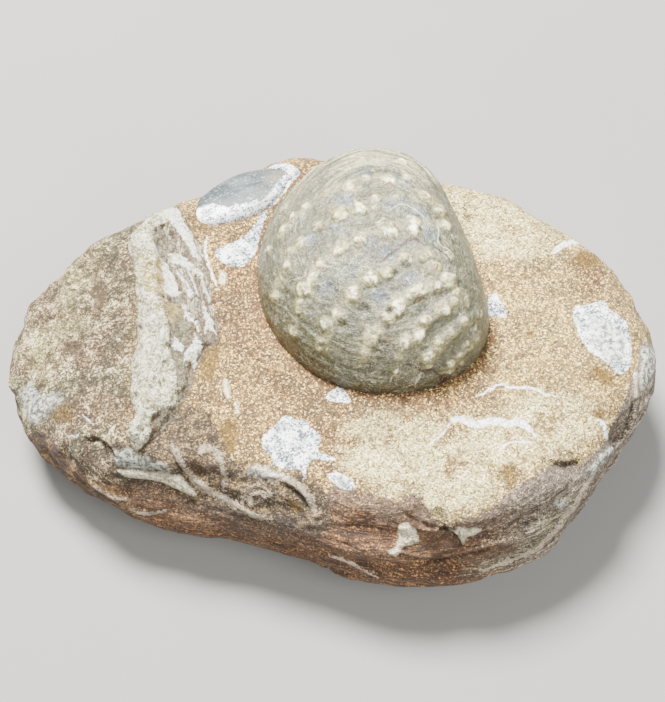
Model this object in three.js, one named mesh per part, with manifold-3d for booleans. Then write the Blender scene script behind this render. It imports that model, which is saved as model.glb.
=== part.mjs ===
// A fossil clam standing proud of the sandy cobble it was buried in, with two more shells in its surface.
// Millimetres, +Z up. The stone lies on its flat underside at z = 0, with its length along X and its broken
// front wall towards -Y. Every piece sits in its own pocket in the stone.

import * as THREE from "three";
import { mergeVertices } from "three/addons/utils/BufferGeometryUtils.js";
import Module from "manifold-3d";

const wasm = await Module();
wasm.setup();

// Driving dimensions.
const STONE_TOP = 34.8; // height of the upper face at the middle of the stone
const STONE_TILT = 0.045; // rise of the upper face per millimetre towards the back
const LEFT_FALL = 7; // how far the upper face drops at the left end
const LEFT_FRONT_FALL = 5.5; // its further drop at the left end's front corner
const RIGHT_FALL = 2; // and at the right end's front corner
const BACK_RISE = 1.5; // swelling of the upper face behind the two smaller shells
const WAIST = 15; // height at which the stone is widest
const TOP_INSET = 4; // how far the walls draw in from the waist to the upper face
const FRONT_INSET = 4.5; // how much further the broken front wall draws in
const EDGE_ROUND = 7; // rounding between the walls and the upper face
const FRONT_EDGE_ROUND = 3; // the same along the front wall
const FOOT_INSET = 9; // how far the underside draws in below the waist
const FOOT_ROUND = 14; // rounding between the walls and the flat underside
const STONE_DETAIL = 12; // how often each face of the ball under the stone's skin is split
const GAP = 0.3; // clearance round each shell in its pocket

// The stone's widest outline, seen from above, counter-clockwise from the right end.
const STONE_OUTLINE = [
  [73.2, -2], [70.8, 8.7], [66.3, 18], [59.2, 26.8], [49.5, 34.7], [38, 41], [26, 45.5], [12, 50.3],
  [-1, 52.2], [-13.5, 49.9], [-26, 42.8], [-38.5, 36.8], [-50, 31.8], [-61, 24.5], [-70, 14], [-72.5, 2.5],
  [-71.4, -9], [-65.3, -20], [-56, -28.5], [-46, -34.5], [-36, -38.5], [-24, -41.5], [-10, -45.5],
  [4, -50], [18, -52.2], [31.5, -51.3], [44, -46], [53.5, -37], [62, -25], [68.8, -12.5],
];

const SHELL_SEAT = 35; // height at which the clam's margin meets the stone
const SHELL_RISE = 21; // height of the clam's crown above its margin
const SHELL_DEPTH = 5; // how far the clam goes down into the stone
const SHELL_PEAK = new THREE.Vector2(10.5, 12); // plan position of the clam's crown
const SHELL_SWELL = 0.35; // broad unevenness of the worn shell
const CLAM_RINGS = 12;

// The clam's margin, seen from above: straight along the right, where the keel runs, and round elsewhere.
const SHELL_OUTLINE = [
  [34.2, 0.5], [32.2, 12], [29.2, 22.5], [25.8, 32.5], [21.5, 40], [14.5, 44.8], [5.5, 45.5], [-3, 41.5],
  [-9.5, 35], [-14, 27], [-16.6, 17], [-16, 6], [-12, -3.5], [-5.5, -11], [3.5, -16], [13, -17.2],
  [22, -15.2], [29, -11], [33, -5.7],
];

// The rows of knobs, which bow round the beak: start, middle and end in plan, number of knobs, knob radius.
const KNOB_ROWS = [
  [[31, -7], [28.3, -10.4], [25, -13.6], 4, 1.3],
  [[31, -4.5], [25.3, -9.5], [20, -14.4], 5, 1.5],
  [[28, -2.5], [20.5, -7.8], [13, -15.6], 8, 1.5],
  [[24.8, -0.8], [14, -5.3], [6.8, -14], 7, 1.8],
  [[24, 5], [9, 0.3], [-2.3, -11], 8, 1.9],
  [[24, 13], [2, 7], [-8.2, -6.5], 9, 2.0],
  [[23.8, 18], [3, 17], [-12.6, 2.5], 10, 1.9],
  [[21, 26], [3, 24], [-14, 13], 9, 1.8],
  [[17, 33], [4, 33], [-11, 24], 8, 1.6],
  [[13, 39], [5, 40], [-4, 36], 5, 1.4],
];
const KNOB_HEIGHT = 0.62; // of its radius
const KNOB_SIDES = 6;
const RIB_HEIGHT = 0.3; // the low rib that carries each row
const RIB_WIDTH = 1.7;
const RIB_POINTS = 12;
const KNOB_STRAY = 0.6; // how far a knob may lie off its even place
const KNOB_VARIETY = 0.2; // how much its radius may differ from its row's

const RIDGE_CREST = 38.2; // height of the pale ridge's crest
const CREST_RISE = 3; // height of its crest above its trough
const FLANK_RISE = 1.2; // height of its lower right crest above the trough
const RIDGE_RIM = 0.3; // how far the ridge's edges stand above the stone
const RIDGE_FOOT = 30; // depth to which the ridge goes down
const RIDGE_GRID = [8, 28]; // facets across and along the ridge's back

// The pale ridge's left and right edges in plan, from its front end to its back end.
const RIDGE_LEFT = [
  [-41.5, -30], [-43.2, -26.5], [-42.2, -21.5], [-43.5, -15], [-42.7, -7.5], [-42.8, 0], [-43.8, 8],
  [-44.3, 15], [-46, 22.5], [-40.5, 30],
];
const RIDGE_RIGHT = [
  [-38.5, -28.5], [-35.5, -25.5], [-32.3, -21.5], [-30.8, -14.5], [-28.2, -8], [-25.2, -3], [-27, 6],
  [-28, 14], [-30.5, 22], [-36, 31.5],
];

// The rear shell is a lens on edge in the stone, worn down to a low dome: half-lengths and centre of each.
const REAR_LENS = [[12.8, 6.6, 7], [-20.6, 34.8, 34.5]];
const REAR_DOME = [[24, 17, 12], [-17, 32, 27.2]];
const REAR_TIP = 0.2; // how far the lens leans back, in radians
const REAR_TURN = 0.5; // its long axis against the stone's length, in radians

// Pits and gouges in the front wall: centre, reach and depth.
const PITS = [
  [[22.2, -43.6, 29], 4, 2.2],
  [[30.4, -39.5, 30], 3.4, 1.6],
  [[22, -46.5, 20], 7, 1.6],
  [[49, -32, 31], 5, 2.0],
  [[61, -23.5, 27], 4, 1.8],
  [[-50, -26, 27], 5, 1.8],
  [[-29, -34, 30], 5, 1.2],
];

const clamp01 = (t) => Math.min(Math.max(t, 0), 1);

// 0 at from, 1 at to, and smooth between.
function fade(from, to, x) {
  const t = clamp01((x - from) / (to - from));
  return t * t * (3 - 2 * t);
}

// A round hump, 1 at distance 0 and 0 from width on.
function hump(distance, width) {
  const t = clamp01(1 - (distance / width) ** 2);
  return t * t;
}

// The larger of a and b, with the crease between them rounded over a width of round.
function smoothMax(a, b, round) {
  const h = Math.max(round - Math.abs(a - b), 0) / round;
  return Math.max(a, b) + (h * h * round) / 4;
}

// Smooth random lumps between -1 and 1, about one size across.
function lumps(x, y, z, seed) {
  const shift = seed * 17.3;
  const [px, py, pz] = [x + shift, y + shift, z + shift];
  const [ix, iy, iz] = [px, py, pz].map(Math.floor);
  const [fx, fy, fz] = [px - ix, py - iy, pz - iz].map((f) => f * f * (3 - 2 * f));
  let sum = 0;
  for (const a of [0, 1]) {
    for (const b of [0, 1]) {
      for (const c of [0, 1]) {
        const wave = Math.sin((ix + a) * 12.9898 + (iy + b) * 78.233 + (iz + c) * 37.719) * 43758.5453;
        const weight = (a ? fx : 1 - fx) * (b ? fy : 1 - fy) * (c ? fz : 1 - fz);
        sum += weight * (wave - Math.floor(wave));
      }
    }
  }
  return 2 * sum - 1;
}

// The smooth closed outline through points, as a function from an angle about centre to the distance there.
function radiusAbout(points, centre) {
  const STEPS = 16;
  const curve = new THREE.CatmullRomCurve3(
    points.map(([x, y]) => new THREE.Vector3(x - centre.x, y - centre.y, 0)),
    true,
    "catmullrom",
    0.5,
  );
  const samples = [];
  for (let i = 0; i < points.length * STEPS; i++) {
    const p = curve.getPoint(i / (points.length * STEPS));
    samples.push([Math.atan2(p.y, p.x), Math.hypot(p.x, p.y)]);
  }
  samples.sort((p, q) => p[0] - q[0]);
  const first = samples[0];
  const last = samples[samples.length - 1];
  samples.unshift([last[0] - 2 * Math.PI, last[1]]);
  samples.push([first[0] + 2 * Math.PI, first[1]]);
  return (angle) => {
    let low = 0;
    let high = samples.length - 1;
    while (high - low > 1) {
      const middle = (low + high) >> 1;
      if (samples[middle][0] <= angle) low = middle;
      else high = middle;
    }
    const [a0, r0] = samples[low];
    const [a1, r1] = samples[high];
    return r0 + ((r1 - r0) * (angle - a0)) / (a1 - a0);
  };
}

const stoneRadius = radiusAbout(STONE_OUTLINE, new THREE.Vector2(0, 0));
const shellRadius = radiusAbout(SHELL_OUTLINE, SHELL_PEAK);

// 1 on the broken front wall, 0 round the ends and the back.
const frontness = (angle) => fade(-2.95, -2.3, angle) * fade(-0.35, -0.95, angle);

// Height of the stone's upper face: it climbs to the back and falls away over both ends.
function upperFace(x, y) {
  const leftEnd = fade(-36, -78, x) * (LEFT_FALL + LEFT_FRONT_FALL * fade(20, -25, y));
  const rightEnd = RIGHT_FALL * fade(40, 74, x) * fade(20, -20, y);
  const backRise = BACK_RISE * fade(18, 42, y) * fade(-50, -25, x) * fade(30, 5, x);
  const swell = 0.7 * lumps(x / 15, y / 15, 0, 1) + 0.3 * lumps(x / 6, y / 6, 0, 2);
  return STONE_TOP + STONE_TILT * y - leftEnd - rightEnd + backRise + swell;
}

// How far the walls are worn in or stand out at a point: broad lumps, thin beds and the pits.
function wallRelief(x, y, z, front) {
  let relief = 1.3 * lumps(x / 17, y / 17, z / 12, 3) + 0.8 * lumps(x / 7, y / 7, z / 6, 4);
  relief += (0.6 + 0.7 * front) * lumps(x / 26, y / 26, z / 4.2, 5);
  for (const [[cx, cy, cz], reach, depth] of PITS) {
    relief -= depth * hump(Math.hypot(x - cx, y - cy, z - cz), reach);
  }
  return relief;
}

// Below 0 inside the stone and above 0 outside it.
function stoneField(x, y, z) {
  const angle = Math.atan2(y, x);
  const front = frontness(angle);
  const up = (z - WAIST) / (STONE_TOP - WAIST);
  const down = (WAIST - z) / WAIST;
  const lean = (TOP_INSET + FRONT_INSET * front) * Math.max(up, 0) ** (1.9 - 0.6 * front);
  const inset = up > 0 ? lean : FOOT_INSET * down ** 2;
  const side = Math.hypot(x, y) - stoneRadius(angle) + inset - wallRelief(x, y, z, front);
  const edge = EDGE_ROUND + (FRONT_EDGE_ROUND - EDGE_ROUND) * front;
  const body = smoothMax(side, z - upperFace(x, y), edge);
  return smoothMax(body, -z, FOOT_ROUND);
}

// A closed skin: each direction of an even ball is followed out from centre to where the field turns positive,
// between the centre itself and FAR times the reach, halving the stretch that holds the surface.
function wrap(field, centre, reach, detail) {
  const FAR = 1.7;
  const HALVINGS = 30;
  const ball = new THREE.IcosahedronGeometry(1, detail);
  ball.deleteAttribute("normal");
  ball.deleteAttribute("uv");
  const skin = mergeVertices(ball, 1e-4);
  const place = skin.getAttribute("position");
  const ray = new THREE.Vector3();
  const point = new THREE.Vector3();
  for (let i = 0; i < place.count; i++) {
    ray.fromBufferAttribute(place, i).multiply(reach);
    let inside = 0;
    let outside = FAR;
    for (let step = 0; step < HALVINGS; step++) {
      const middle = (inside + outside) / 2;
      point.copy(centre).addScaledVector(ray, middle);
      if (field(point.x, point.y, point.z) < 0) inside = middle;
      else outside = middle;
    }
    point.copy(centre).addScaledVector(ray, inside);
    place.setXYZ(i, point.x, point.y, point.z);
  }
  return skin;
}

// Height of the clam's smooth dome above its margin, at a share of the way out and an angle about the crown.
// The right side keeps its height to the keel and then drops, and the others round off evenly.
function domeHeight(share, angle) {
  const keelSide = clamp01(Math.cos(angle - 0.15)) ** 2;
  return SHELL_RISE * Math.sqrt(clamp01(1 - share ** (2.15 + 1.6 * keelSide)));
}

// A fixed random number between -1 and 1 for each whole number.
function scatter(n) {
  const wave = Math.sin(n * 12.9898) * 43758.5453;
  return 2 * (wave - Math.floor(wave)) - 1;
}

// Each row of knobs as a curve in plan that bows through its middle, with its knobs a little out of line.
const rows = KNOB_ROWS.map(([start, middle, end, count, radius], r) => {
  const bow = [0, 1].map((k) => 2 * middle[k] - (start[k] + end[k]) / 2);
  const curve = new THREE.QuadraticBezierCurve(
    new THREE.Vector2(...start),
    new THREE.Vector2(...bow),
    new THREE.Vector2(...end),
  );
  const knobs = curve.getPoints(count - 1).map((p, k) => {
    const n = 40 * r + 3 * k;
    const x = p.x + KNOB_STRAY * scatter(n);
    const y = p.y + KNOB_STRAY * scatter(n + 1);
    return { x, y, radius: radius * (1 + KNOB_VARIETY * scatter(n + 2)) };
  });
  return { rib: curve.getPoints(RIB_POINTS), knobs };
});

// Height of the clam's weathered surface at a plan position: the dome, its low ribs and its unevenness.
function shellHeight(x, y, grow) {
  const out = new THREE.Vector2(x, y).sub(SHELL_PEAK);
  const angle = Math.atan2(out.y, out.x);
  const share = Math.min(out.length() / (shellRadius(angle) + grow), 1);
  const here = new THREE.Vector2(x, y);
  const nearRib = Math.min(...rows.flatMap((row) => row.rib.map((p) => here.distanceTo(p))));
  const relief = RIB_HEIGHT * hump(nearRib, RIB_WIDTH) + SHELL_SWELL * lumps(x / 9, y / 9, 0, 6);
  return SHELL_SEAT + domeHeight(share, angle) + (relief + grow) * fade(1, 0.85, share);
}

// The clam's body as a closed solid: a dome of hexagonal rings, a wall below its margin and a flat bottom.
function clamBody(grow) {
  const rings = CLAM_RINGS;
  const vertices = [];
  const faces = [];
  const index = (ring, step) => (ring === 0 ? 0 : 1 + 3 * ring * (ring - 1) + (step % (6 * ring)));
  for (let ring = 0; ring <= rings; ring++) {
    const share = Math.sin((ring / rings) * (Math.PI / 2));
    const around = Math.max(1, 6 * ring);
    for (let step = 0; step < around; step++) {
      const turn = (step / around) * 2 * Math.PI;
      const angle = Math.atan2(Math.sin(turn), Math.cos(turn));
      const out = share * (shellRadius(angle) + grow);
      const [x, y] = [SHELL_PEAK.x + out * Math.cos(angle), SHELL_PEAK.y + out * Math.sin(angle)];
      vertices.push(x, y, shellHeight(x, y, grow));
    }
  }
  for (let ring = 1; ring <= rings; ring++) {
    for (let side = 0; side < 6; side++) {
      for (let k = 0; k < ring; k++) {
        const outer = side * ring + k;
        const inner = side * (ring - 1) + k;
        faces.push(index(ring, outer), index(ring, outer + 1), index(ring - 1, inner));
        if (k === ring - 1) continue;
        faces.push(index(ring - 1, inner), index(ring, outer + 1), index(ring - 1, inner + 1));
      }
    }
  }
  const rim = index(rings, 0);
  const around = 6 * rings;
  const bottom = SHELL_SEAT - SHELL_DEPTH - grow;
  const floor = vertices.length / 3;
  for (let k = rim; k < rim + around; k++) vertices.push(vertices[3 * k], vertices[3 * k + 1], bottom);
  vertices.push(SHELL_PEAK.x, SHELL_PEAK.y, bottom);
  for (let step = 0; step < around; step++) {
    const next = (step + 1) % around;
    faces.push(rim + step, floor + step, floor + next, rim + step, floor + next, rim + next);
    faces.push(floor + next, floor + step, floor + around);
  }
  return closed(vertices, faces);
}

// The clam with every knob fused to it: a flattened six-sided ball sunk into the dome and facing out of it.
function clam() {
  const up = new THREE.Vector3(0, 0, 1);
  const STEP = 0.5;
  let solid = solidOf(clamBody(0));
  for (const row of rows) {
    for (const p of row.knobs) {
      const slopeX = (shellHeight(p.x + STEP, p.y, 0) - shellHeight(p.x - STEP, p.y, 0)) / (2 * STEP);
      const slopeY = (shellHeight(p.x, p.y + STEP, 0) - shellHeight(p.x, p.y - STEP, 0)) / (2 * STEP);
      const outward = new THREE.Vector3(-slopeX, -slopeY, 1).normalize();
      const knob = new THREE.SphereGeometry(p.radius, KNOB_SIDES, 3);
      knob.rotateX(Math.PI / 2);
      knob.scale(1, 1, KNOB_HEIGHT);
      knob.applyQuaternion(new THREE.Quaternion().setFromUnitVectors(up, outward));
      knob.translate(p.x, p.y, shellHeight(p.x, p.y, 0));
      solid = solid.add(solidOf(knob));
    }
  }
  return geometryOf(solid);
}

function closed(vertices, faces) {
  const geometry = new THREE.BufferGeometry();
  geometry.setAttribute("position", new THREE.Float32BufferAttribute(vertices, 3));
  geometry.setIndex(faces);
  return geometry;
}

const openCurve = (points) =>
  new THREE.CatmullRomCurve3(
    points.map(([x, y]) => new THREE.Vector3(x, y, 0)),
    false,
    "catmullrom",
    0.5,
  );

// Height of the ridge's back, across in u and along in v: its crest runs down its left third with a trough
// beside it, and its right flank lies almost flush with the stone.
function ridgeBack(u, v, x, y) {
  const ends = fade(0, 0.12, v) * fade(1, 0.93, v);
  const crest = CREST_RISE * hump(u - 0.26, 0.42);
  const flank = FLANK_RISE * hump(u - 0.78, 0.26);
  const level = RIDGE_CREST - CREST_RISE - 0.6 + 1.2 * fade(0.2, 0.9, v);
  return level + (crest + flank) * (0.55 + 0.45 * ends) + 0.7 * lumps(x / 5, y / 7, 0, 7);
}

// The pale ridge as a closed solid: its back as a grid between its two edges, a wall round it and a flat bottom.
function ridge(grow) {
  const [across, along] = RIDGE_GRID;
  const left = openCurve(RIDGE_LEFT);
  const right = openCurve(RIDGE_RIGHT);
  const columns = across + 1;
  const vertices = [];
  const faces = [];
  for (let j = 0; j <= along; j++) {
    const v = j / along;
    const from = left.getPoint(v);
    const to = right.getPoint(v);
    const stretch = 1 + (2 * grow) / from.distanceTo(to);
    for (let i = 0; i <= across; i++) {
      const u = i / across;
      const p = from.clone().lerp(to, 0.5 + (u - 0.5) * stretch);
      p.y += grow * (2 * v - 1);
      const rim = upperFace(p.x, p.y) + RIDGE_RIM;
      const inward = clamp01(Math.min(u, 1 - u) * 9) * clamp01(Math.min(v, 1 - v) * 22);
      const back = ridgeBack(u, v, p.x, p.y);
      vertices.push(p.x, p.y, rim + grow + (back - rim) * Math.sqrt(inward));
    }
  }
  const border = [];
  for (let i = 0; i < across; i++) border.push(i);
  for (let j = 0; j < along; j++) border.push(j * columns + across);
  for (let i = across; i > 0; i--) border.push(along * columns + i);
  for (let j = along; j > 0; j--) border.push(j * columns);
  const foot = vertices.length / 3;
  for (const k of border) vertices.push(vertices[3 * k], vertices[3 * k + 1], RIDGE_FOOT - grow);
  for (let j = 0; j < along; j++) {
    for (let i = 0; i < across; i++) {
      const a = j * columns + i;
      faces.push(a, a + 1, a + columns + 1, a, a + columns + 1, a + columns);
    }
  }
  for (let k = 0; k < border.length; k++) {
    const next = (k + 1) % border.length;
    faces.push(border[k], foot + k, foot + next, border[k], foot + next, border[next]);
  }
  const bottom = border.map((k) => new THREE.Vector2(vertices[3 * k], vertices[3 * k + 1]));
  for (const [a, b, c] of THREE.ShapeUtils.triangulateShape(bottom, [])) {
    faces.push(foot + a, foot + c, foot + b);
  }
  return closed(vertices, faces);
}

// A ball stretched to half-lengths about centre, leaning back by tip and turned along the stone's back edge.
function lens([size, centre], grow, tip) {
  const ball = new THREE.IcosahedronGeometry(1, 3);
  ball.scale(...size.map((half) => half + grow));
  ball.rotateX(-tip);
  ball.rotateZ(REAR_TURN);
  ball.translate(...centre);
  return solidOf(ball);
}

const rearShell = (grow) => lens(REAR_LENS, grow, REAR_TIP).intersect(lens(REAR_DOME, grow, 0));

function solidOf(geometry) {
  const bare = new THREE.BufferGeometry();
  bare.setAttribute("position", geometry.getAttribute("position"));
  bare.setIndex(geometry.getIndex());
  const merged = mergeVertices(bare, 1e-4);
  const mesh = new wasm.Mesh({
    numProp: 3,
    vertProperties: new Float32Array(merged.getAttribute("position").array),
    triVerts: new Uint32Array(merged.getIndex().array),
  });
  return new wasm.Manifold(mesh);
}

function geometryOf(solid) {
  const { vertProperties, triVerts } = solid.getMesh();
  const geometry = closed(Array.from(vertProperties), Array.from(triVerts));
  geometry.computeVertexNormals();
  return geometry;
}

// The stone, with its rays set out from a point near the front wall, so that the front and top are the finest.
function stone() {
  const skin = wrap(stoneField, new THREE.Vector3(4, -9, 20), new THREE.Vector3(75, 53, 20), STONE_DETAIL);
  const pockets = [solidOf(clamBody(GAP)), solidOf(ridge(GAP)), rearShell(GAP)];
  return geometryOf(pockets.reduce((solid, pocket) => solid.subtract(pocket), solidOf(skin)));
}

function piece(name, geometry, color, roughness) {
  const mesh = new THREE.Mesh(geometry, new THREE.MeshStandardMaterial({ color, roughness, metalness: 0 }));
  mesh.name = name;
  return mesh;
}

const specimen = new THREE.Group();
specimen.add(
  piece("stone_matrix", stone(), 0xc9a97c, 0.9),
  piece("bivalve_shell", clam(), 0xaeaa94, 0.6),
  piece("ridge_shell", ridge(0), 0xd9d3bd, 0.85),
  piece("rear_shell", geometryOf(rearShell(0)), 0x9aa3a6, 0.5),
);

export default specimen;
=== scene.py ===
# %% [markdown]
# # A fossil clam in a sandy cobble
# The object is one beach-worn cobble of sandy limestone. A clam with bowed rows of knobs stands proud of it,
# a long rough ridge of pale shell crosses its left end, and a smooth rear shell is let into its back edge.
# Everything else that shows in the stone, such as white shell sections and thin white lines, is flush with
# it and is colour rather than form.
#
# The solid model gives each of the four pieces its place and size. This script gives each one a much finer
# surface of the same form, by the same rules, and then paints it: first with masks worked out from distances
# on the surface, and then with noise in the materials.

# %% Load the solid model
import math
import bpy
import numpy as np
from types import SimpleNamespace
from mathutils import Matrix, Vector


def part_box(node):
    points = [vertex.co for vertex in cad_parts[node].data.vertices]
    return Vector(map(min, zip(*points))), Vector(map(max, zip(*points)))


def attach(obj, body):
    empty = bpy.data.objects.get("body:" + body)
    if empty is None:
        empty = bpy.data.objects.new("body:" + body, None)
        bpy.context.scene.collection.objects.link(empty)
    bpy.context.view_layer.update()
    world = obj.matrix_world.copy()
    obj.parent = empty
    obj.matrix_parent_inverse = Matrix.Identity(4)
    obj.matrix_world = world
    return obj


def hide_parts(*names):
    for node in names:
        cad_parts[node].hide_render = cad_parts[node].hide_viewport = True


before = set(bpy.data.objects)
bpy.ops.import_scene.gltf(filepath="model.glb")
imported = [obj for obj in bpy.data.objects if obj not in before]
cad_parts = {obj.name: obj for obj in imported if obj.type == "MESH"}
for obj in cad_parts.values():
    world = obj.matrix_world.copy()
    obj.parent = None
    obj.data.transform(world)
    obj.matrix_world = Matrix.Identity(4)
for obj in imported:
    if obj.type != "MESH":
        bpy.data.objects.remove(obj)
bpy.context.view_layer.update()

# %% [markdown]
# ## One unit for the whole job
# All shapes below are written in millimetres on the stone as it was measured. The stone's length in the model
# gives the size of one of these millimetres in Blender's metres, so that the surface always fits its solid.

# %% Millimetres
STONE_LENGTH = 146.51
stone_low, stone_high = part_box("stone_matrix")
MM = (stone_high[0] - stone_low[0]) / STONE_LENGTH
print("one millimetre is", round(MM, 8), "m")

# %% [markdown]
# ## The camera
# The stone is looked at from its front and 58 degrees above, from about a third of a metre away, with a long
# lens so that it keeps its true proportions. The camera comes first, because every later choice of detail
# is judged through it.

# %% Camera
scene = bpy.context.scene
VIEW_HEIGHT = math.radians(58)
CAMERA_DISTANCE = 340
CAMERA_AIM = np.array([0.0, 0.0, 20.0])
LENS, SENSOR = 76.3, 36.0
SHIFT = 10 / 702
backwards = np.array([0.0, -math.cos(VIEW_HEIGHT), math.sin(VIEW_HEIGHT)])
camera_data = bpy.data.cameras.new("camera")
camera_data.sensor_fit = "VERTICAL"
camera_data.sensor_height = SENSOR
camera_data.lens = LENS
camera_data.shift_y = SHIFT
camera_data.clip_start = 0.01
camera = bpy.data.objects.new("camera", camera_data)
camera.location = Vector((CAMERA_AIM + CAMERA_DISTANCE * backwards) * MM)
camera.rotation_euler = (math.pi / 2 - VIEW_HEIGHT, 0, 0)
scene.collection.objects.link(camera)
scene.camera = camera
print("camera at", [round(v, 3) for v in camera.location])

# %% [markdown]
# ## Soft steps, humps and lumps
# Worn stone has no sharp mathematics in it. A few small functions make all of its form: a soft step, a round
# hump, a rounded crease where two surfaces meet, and smooth random lumps of a chosen size. They work on whole
# arrays of points at once, which is what makes two hundred thousand triangles quick in Python.

# %% Shape functions
def clamp01(t):
    return np.clip(t, 0.0, 1.0)


def fade(start, end, x):
    """0 at start, 1 at end, and smooth between."""
    t = clamp01((x - start) / (end - start))
    return t * t * (3 - 2 * t)


def hump(distance, width):
    """1 at distance 0, and 0 from width on."""
    t = clamp01(1 - (distance / width) ** 2)
    return t * t


def round_hump(x, y, z, centre, reach):
    """A hump in all directions round a centre."""
    cx, cy, cz = centre
    return hump(np.sqrt((x - cx) ** 2 + (y - cy) ** 2 + (z - cz) ** 2), reach)


def smooth_max(a, b, rounding):
    """The larger of two values, with a rounded crease where they are equal."""
    h = np.maximum(rounding - np.abs(a - b), 0) / rounding
    return np.maximum(a, b) + h * h * rounding / 4


def lumps(x, y, z, seed):
    """Smooth random values between -1 and 1, about one unit across."""
    shift = seed * 17.3
    cells = [np.floor(v + shift) for v in (x, y, z)]
    parts = [v + shift - cell for v, cell in zip((x, y, z), cells)]
    soft = [f * f * (3 - 2 * f) for f in parts]
    total = 0.0
    for a in (0, 1):
        for b in (0, 1):
            for c in (0, 1):
                key = (cells[0] + a) * 12.9898 + (cells[1] + b) * 78.233 + (cells[2] + c) * 37.719
                wave = np.sin(key) * 43758.5453
                weight = (soft[0] if a else 1 - soft[0]) * (soft[1] if b else 1 - soft[1])
                total = total + weight * (soft[2] if c else 1 - soft[2]) * (wave - np.floor(wave))
    return 2 * total - 1


def even_lumps(x, y, z, size, seed):
    """Lumps of one size in all directions."""
    return lumps(x / size, y / size, z / size, seed)


# %% Curves through points
def curve_through(points, closed, steps):
    """Points on a smooth curve through the given ones, steps for each stretch."""
    p = np.array(points, float)
    count = len(p) if closed else len(p) - 1
    out = []
    for i in range(count):
        if closed:
            a, b, c, d = p[i - 1], p[i], p[(i + 1) % len(p)], p[(i + 2) % len(p)]
        else:
            b, c = p[i], p[i + 1]
            a = p[i - 1] if i > 0 else 2 * b - c
            d = p[i + 2] if i + 2 < len(p) else 2 * c - b
        for t in np.arange(steps) / steps:
            out.append(b + 0.5 * (c - a) * t + (a - 2.5 * b + 2 * c - 0.5 * d) * t**2
                       + (1.5 * (b - c) + 0.5 * (d - a)) * t**3)
    if not closed:
        out.append(p[-1])
    return np.array(out)


def radius_about(points, centre):
    """The distance from centre to a closed outline, as a function of the angle."""
    ring = curve_through(points, True, 16) - centre
    angles = np.arctan2(ring[:, 1], ring[:, 0])
    order = np.argsort(angles)
    distances = np.hypot(ring[:, 0], ring[:, 1])
    return lambda angle: np.interp(angle, angles[order], distances[order], period=2 * math.pi)


# %% [markdown]
# ## The form of the cobble
# The real stone is a flattened oval with a broad worn upper face, rounded ends and back, and a broken front
# wall where its beds show as thin ledges. It could be sculpted by hand, but then it wouldn't match its solid.
# Instead a rule says for any point in space whether it is inside the stone, and the surface is wherever the
# rule changes its mind. The first part of the rule is the same as in the solid model. The second part adds
# what only a finer mesh can hold: thin beds on the front wall, chips along its edge, and shallow hollows.

# %% Rule for the stone
STONE_TOP, STONE_TILT, WAIST, FLOOR_ROUNDING = 34.8, 0.045, 15, 14
STONE_OUTLINE = [
    (73.2, -2), (70.8, 8.7), (66.3, 18), (59.2, 26.8), (49.5, 34.7), (38, 41), (26, 45.5), (12, 50.3),
    (-1, 52.2), (-13.5, 49.9), (-26, 42.8), (-38.5, 36.8), (-50, 31.8), (-61, 24.5), (-70, 14), (-72.5, 2.5),
    (-71.4, -9), (-65.3, -20), (-56, -28.5), (-46, -34.5), (-36, -38.5), (-24, -41.5), (-10, -45.5), (4, -50),
    (18, -52.2), (31.5, -51.3), (44, -46), (53.5, -37), (62, -25), (68.8, -12.5),
]
PITS = [
    ((22.2, -43.6, 29), 4, 2.2), ((30.4, -39.5, 30), 3.4, 1.6), ((22, -46.5, 20), 7, 1.6),
    ((49, -32, 31), 5, 2.0), ((61, -23.5, 27), 4, 1.8), ((-50, -26, 27), 5, 1.8), ((-29, -34, 30), 5, 1.2),
]
stone_radius = radius_about(STONE_OUTLINE, (0, 0))


def frontness(angle):
    """1 on the broken front wall and 0 round the back."""
    return fade(-2.95, -2.3, angle) * fade(-0.35, -0.95, angle)


def upper_face(x, y):
    """Height of the worn upper face."""
    left_end = fade(-36, -78, x) * (7 + 5.5 * fade(20, -25, y))
    right_end = 2 * fade(40, 74, x) * fade(20, -20, y)
    back_rise = 1.5 * fade(18, 42, y) * fade(-50, -25, x) * fade(30, 5, x)
    swell = 0.7 * lumps(x / 15, y / 15, 0 * x, 1) + 0.3 * lumps(x / 6, y / 6, 0 * x, 2)
    return STONE_TOP + STONE_TILT * y - left_end - right_end + back_rise + swell


def wall_relief(x, y, z, front):
    relief = 1.3 * lumps(x / 17, y / 17, z / 12, 3) + 0.8 * lumps(x / 7, y / 7, z / 6, 4)
    relief += (0.6 + 0.7 * front) * lumps(x / 26, y / 26, z / 4.2, 5)
    for centre, reach, depth in PITS:
        relief -= depth * round_hump(x, y, z, centre, reach)
    return relief


# %% Finer relief on the stone
FINE_PITS = [
    ((21.7, -44.2, 31.4), 1.7, 1.5), ((29.9, -40.1, 32.6), 2.0, 0.7), ((18, -43.6, 31), 3.0, 1.0),
    ((24.5, -46.5, 27.5), 3.2, 1.3), ((60.4, -24.7, 26.1), 2.0, 1.6), ((-57.6, -27, 24), 1.8, 1.0),
    ((-30.4, -22.7, 34), 0.7, 0.8), ((-48, -27.2, 28), 2.2, 1.0), ((-57.8, -3, 29), 3.0, 0.8),
    ((-51.5, 11, 31.5), 3.2, 0.8), ((-63, 8, 27), 3.4, 0.9), ((-15.7, -37.3, 22.1), 3.4, -1.0),
    ((-27.9, -33.6, 29.6), 1.8, 0.9), ((24.5, -46.8, 19.5), 5, 0.7), ((17, -48, 14), 5, 0.6),
]
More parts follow.
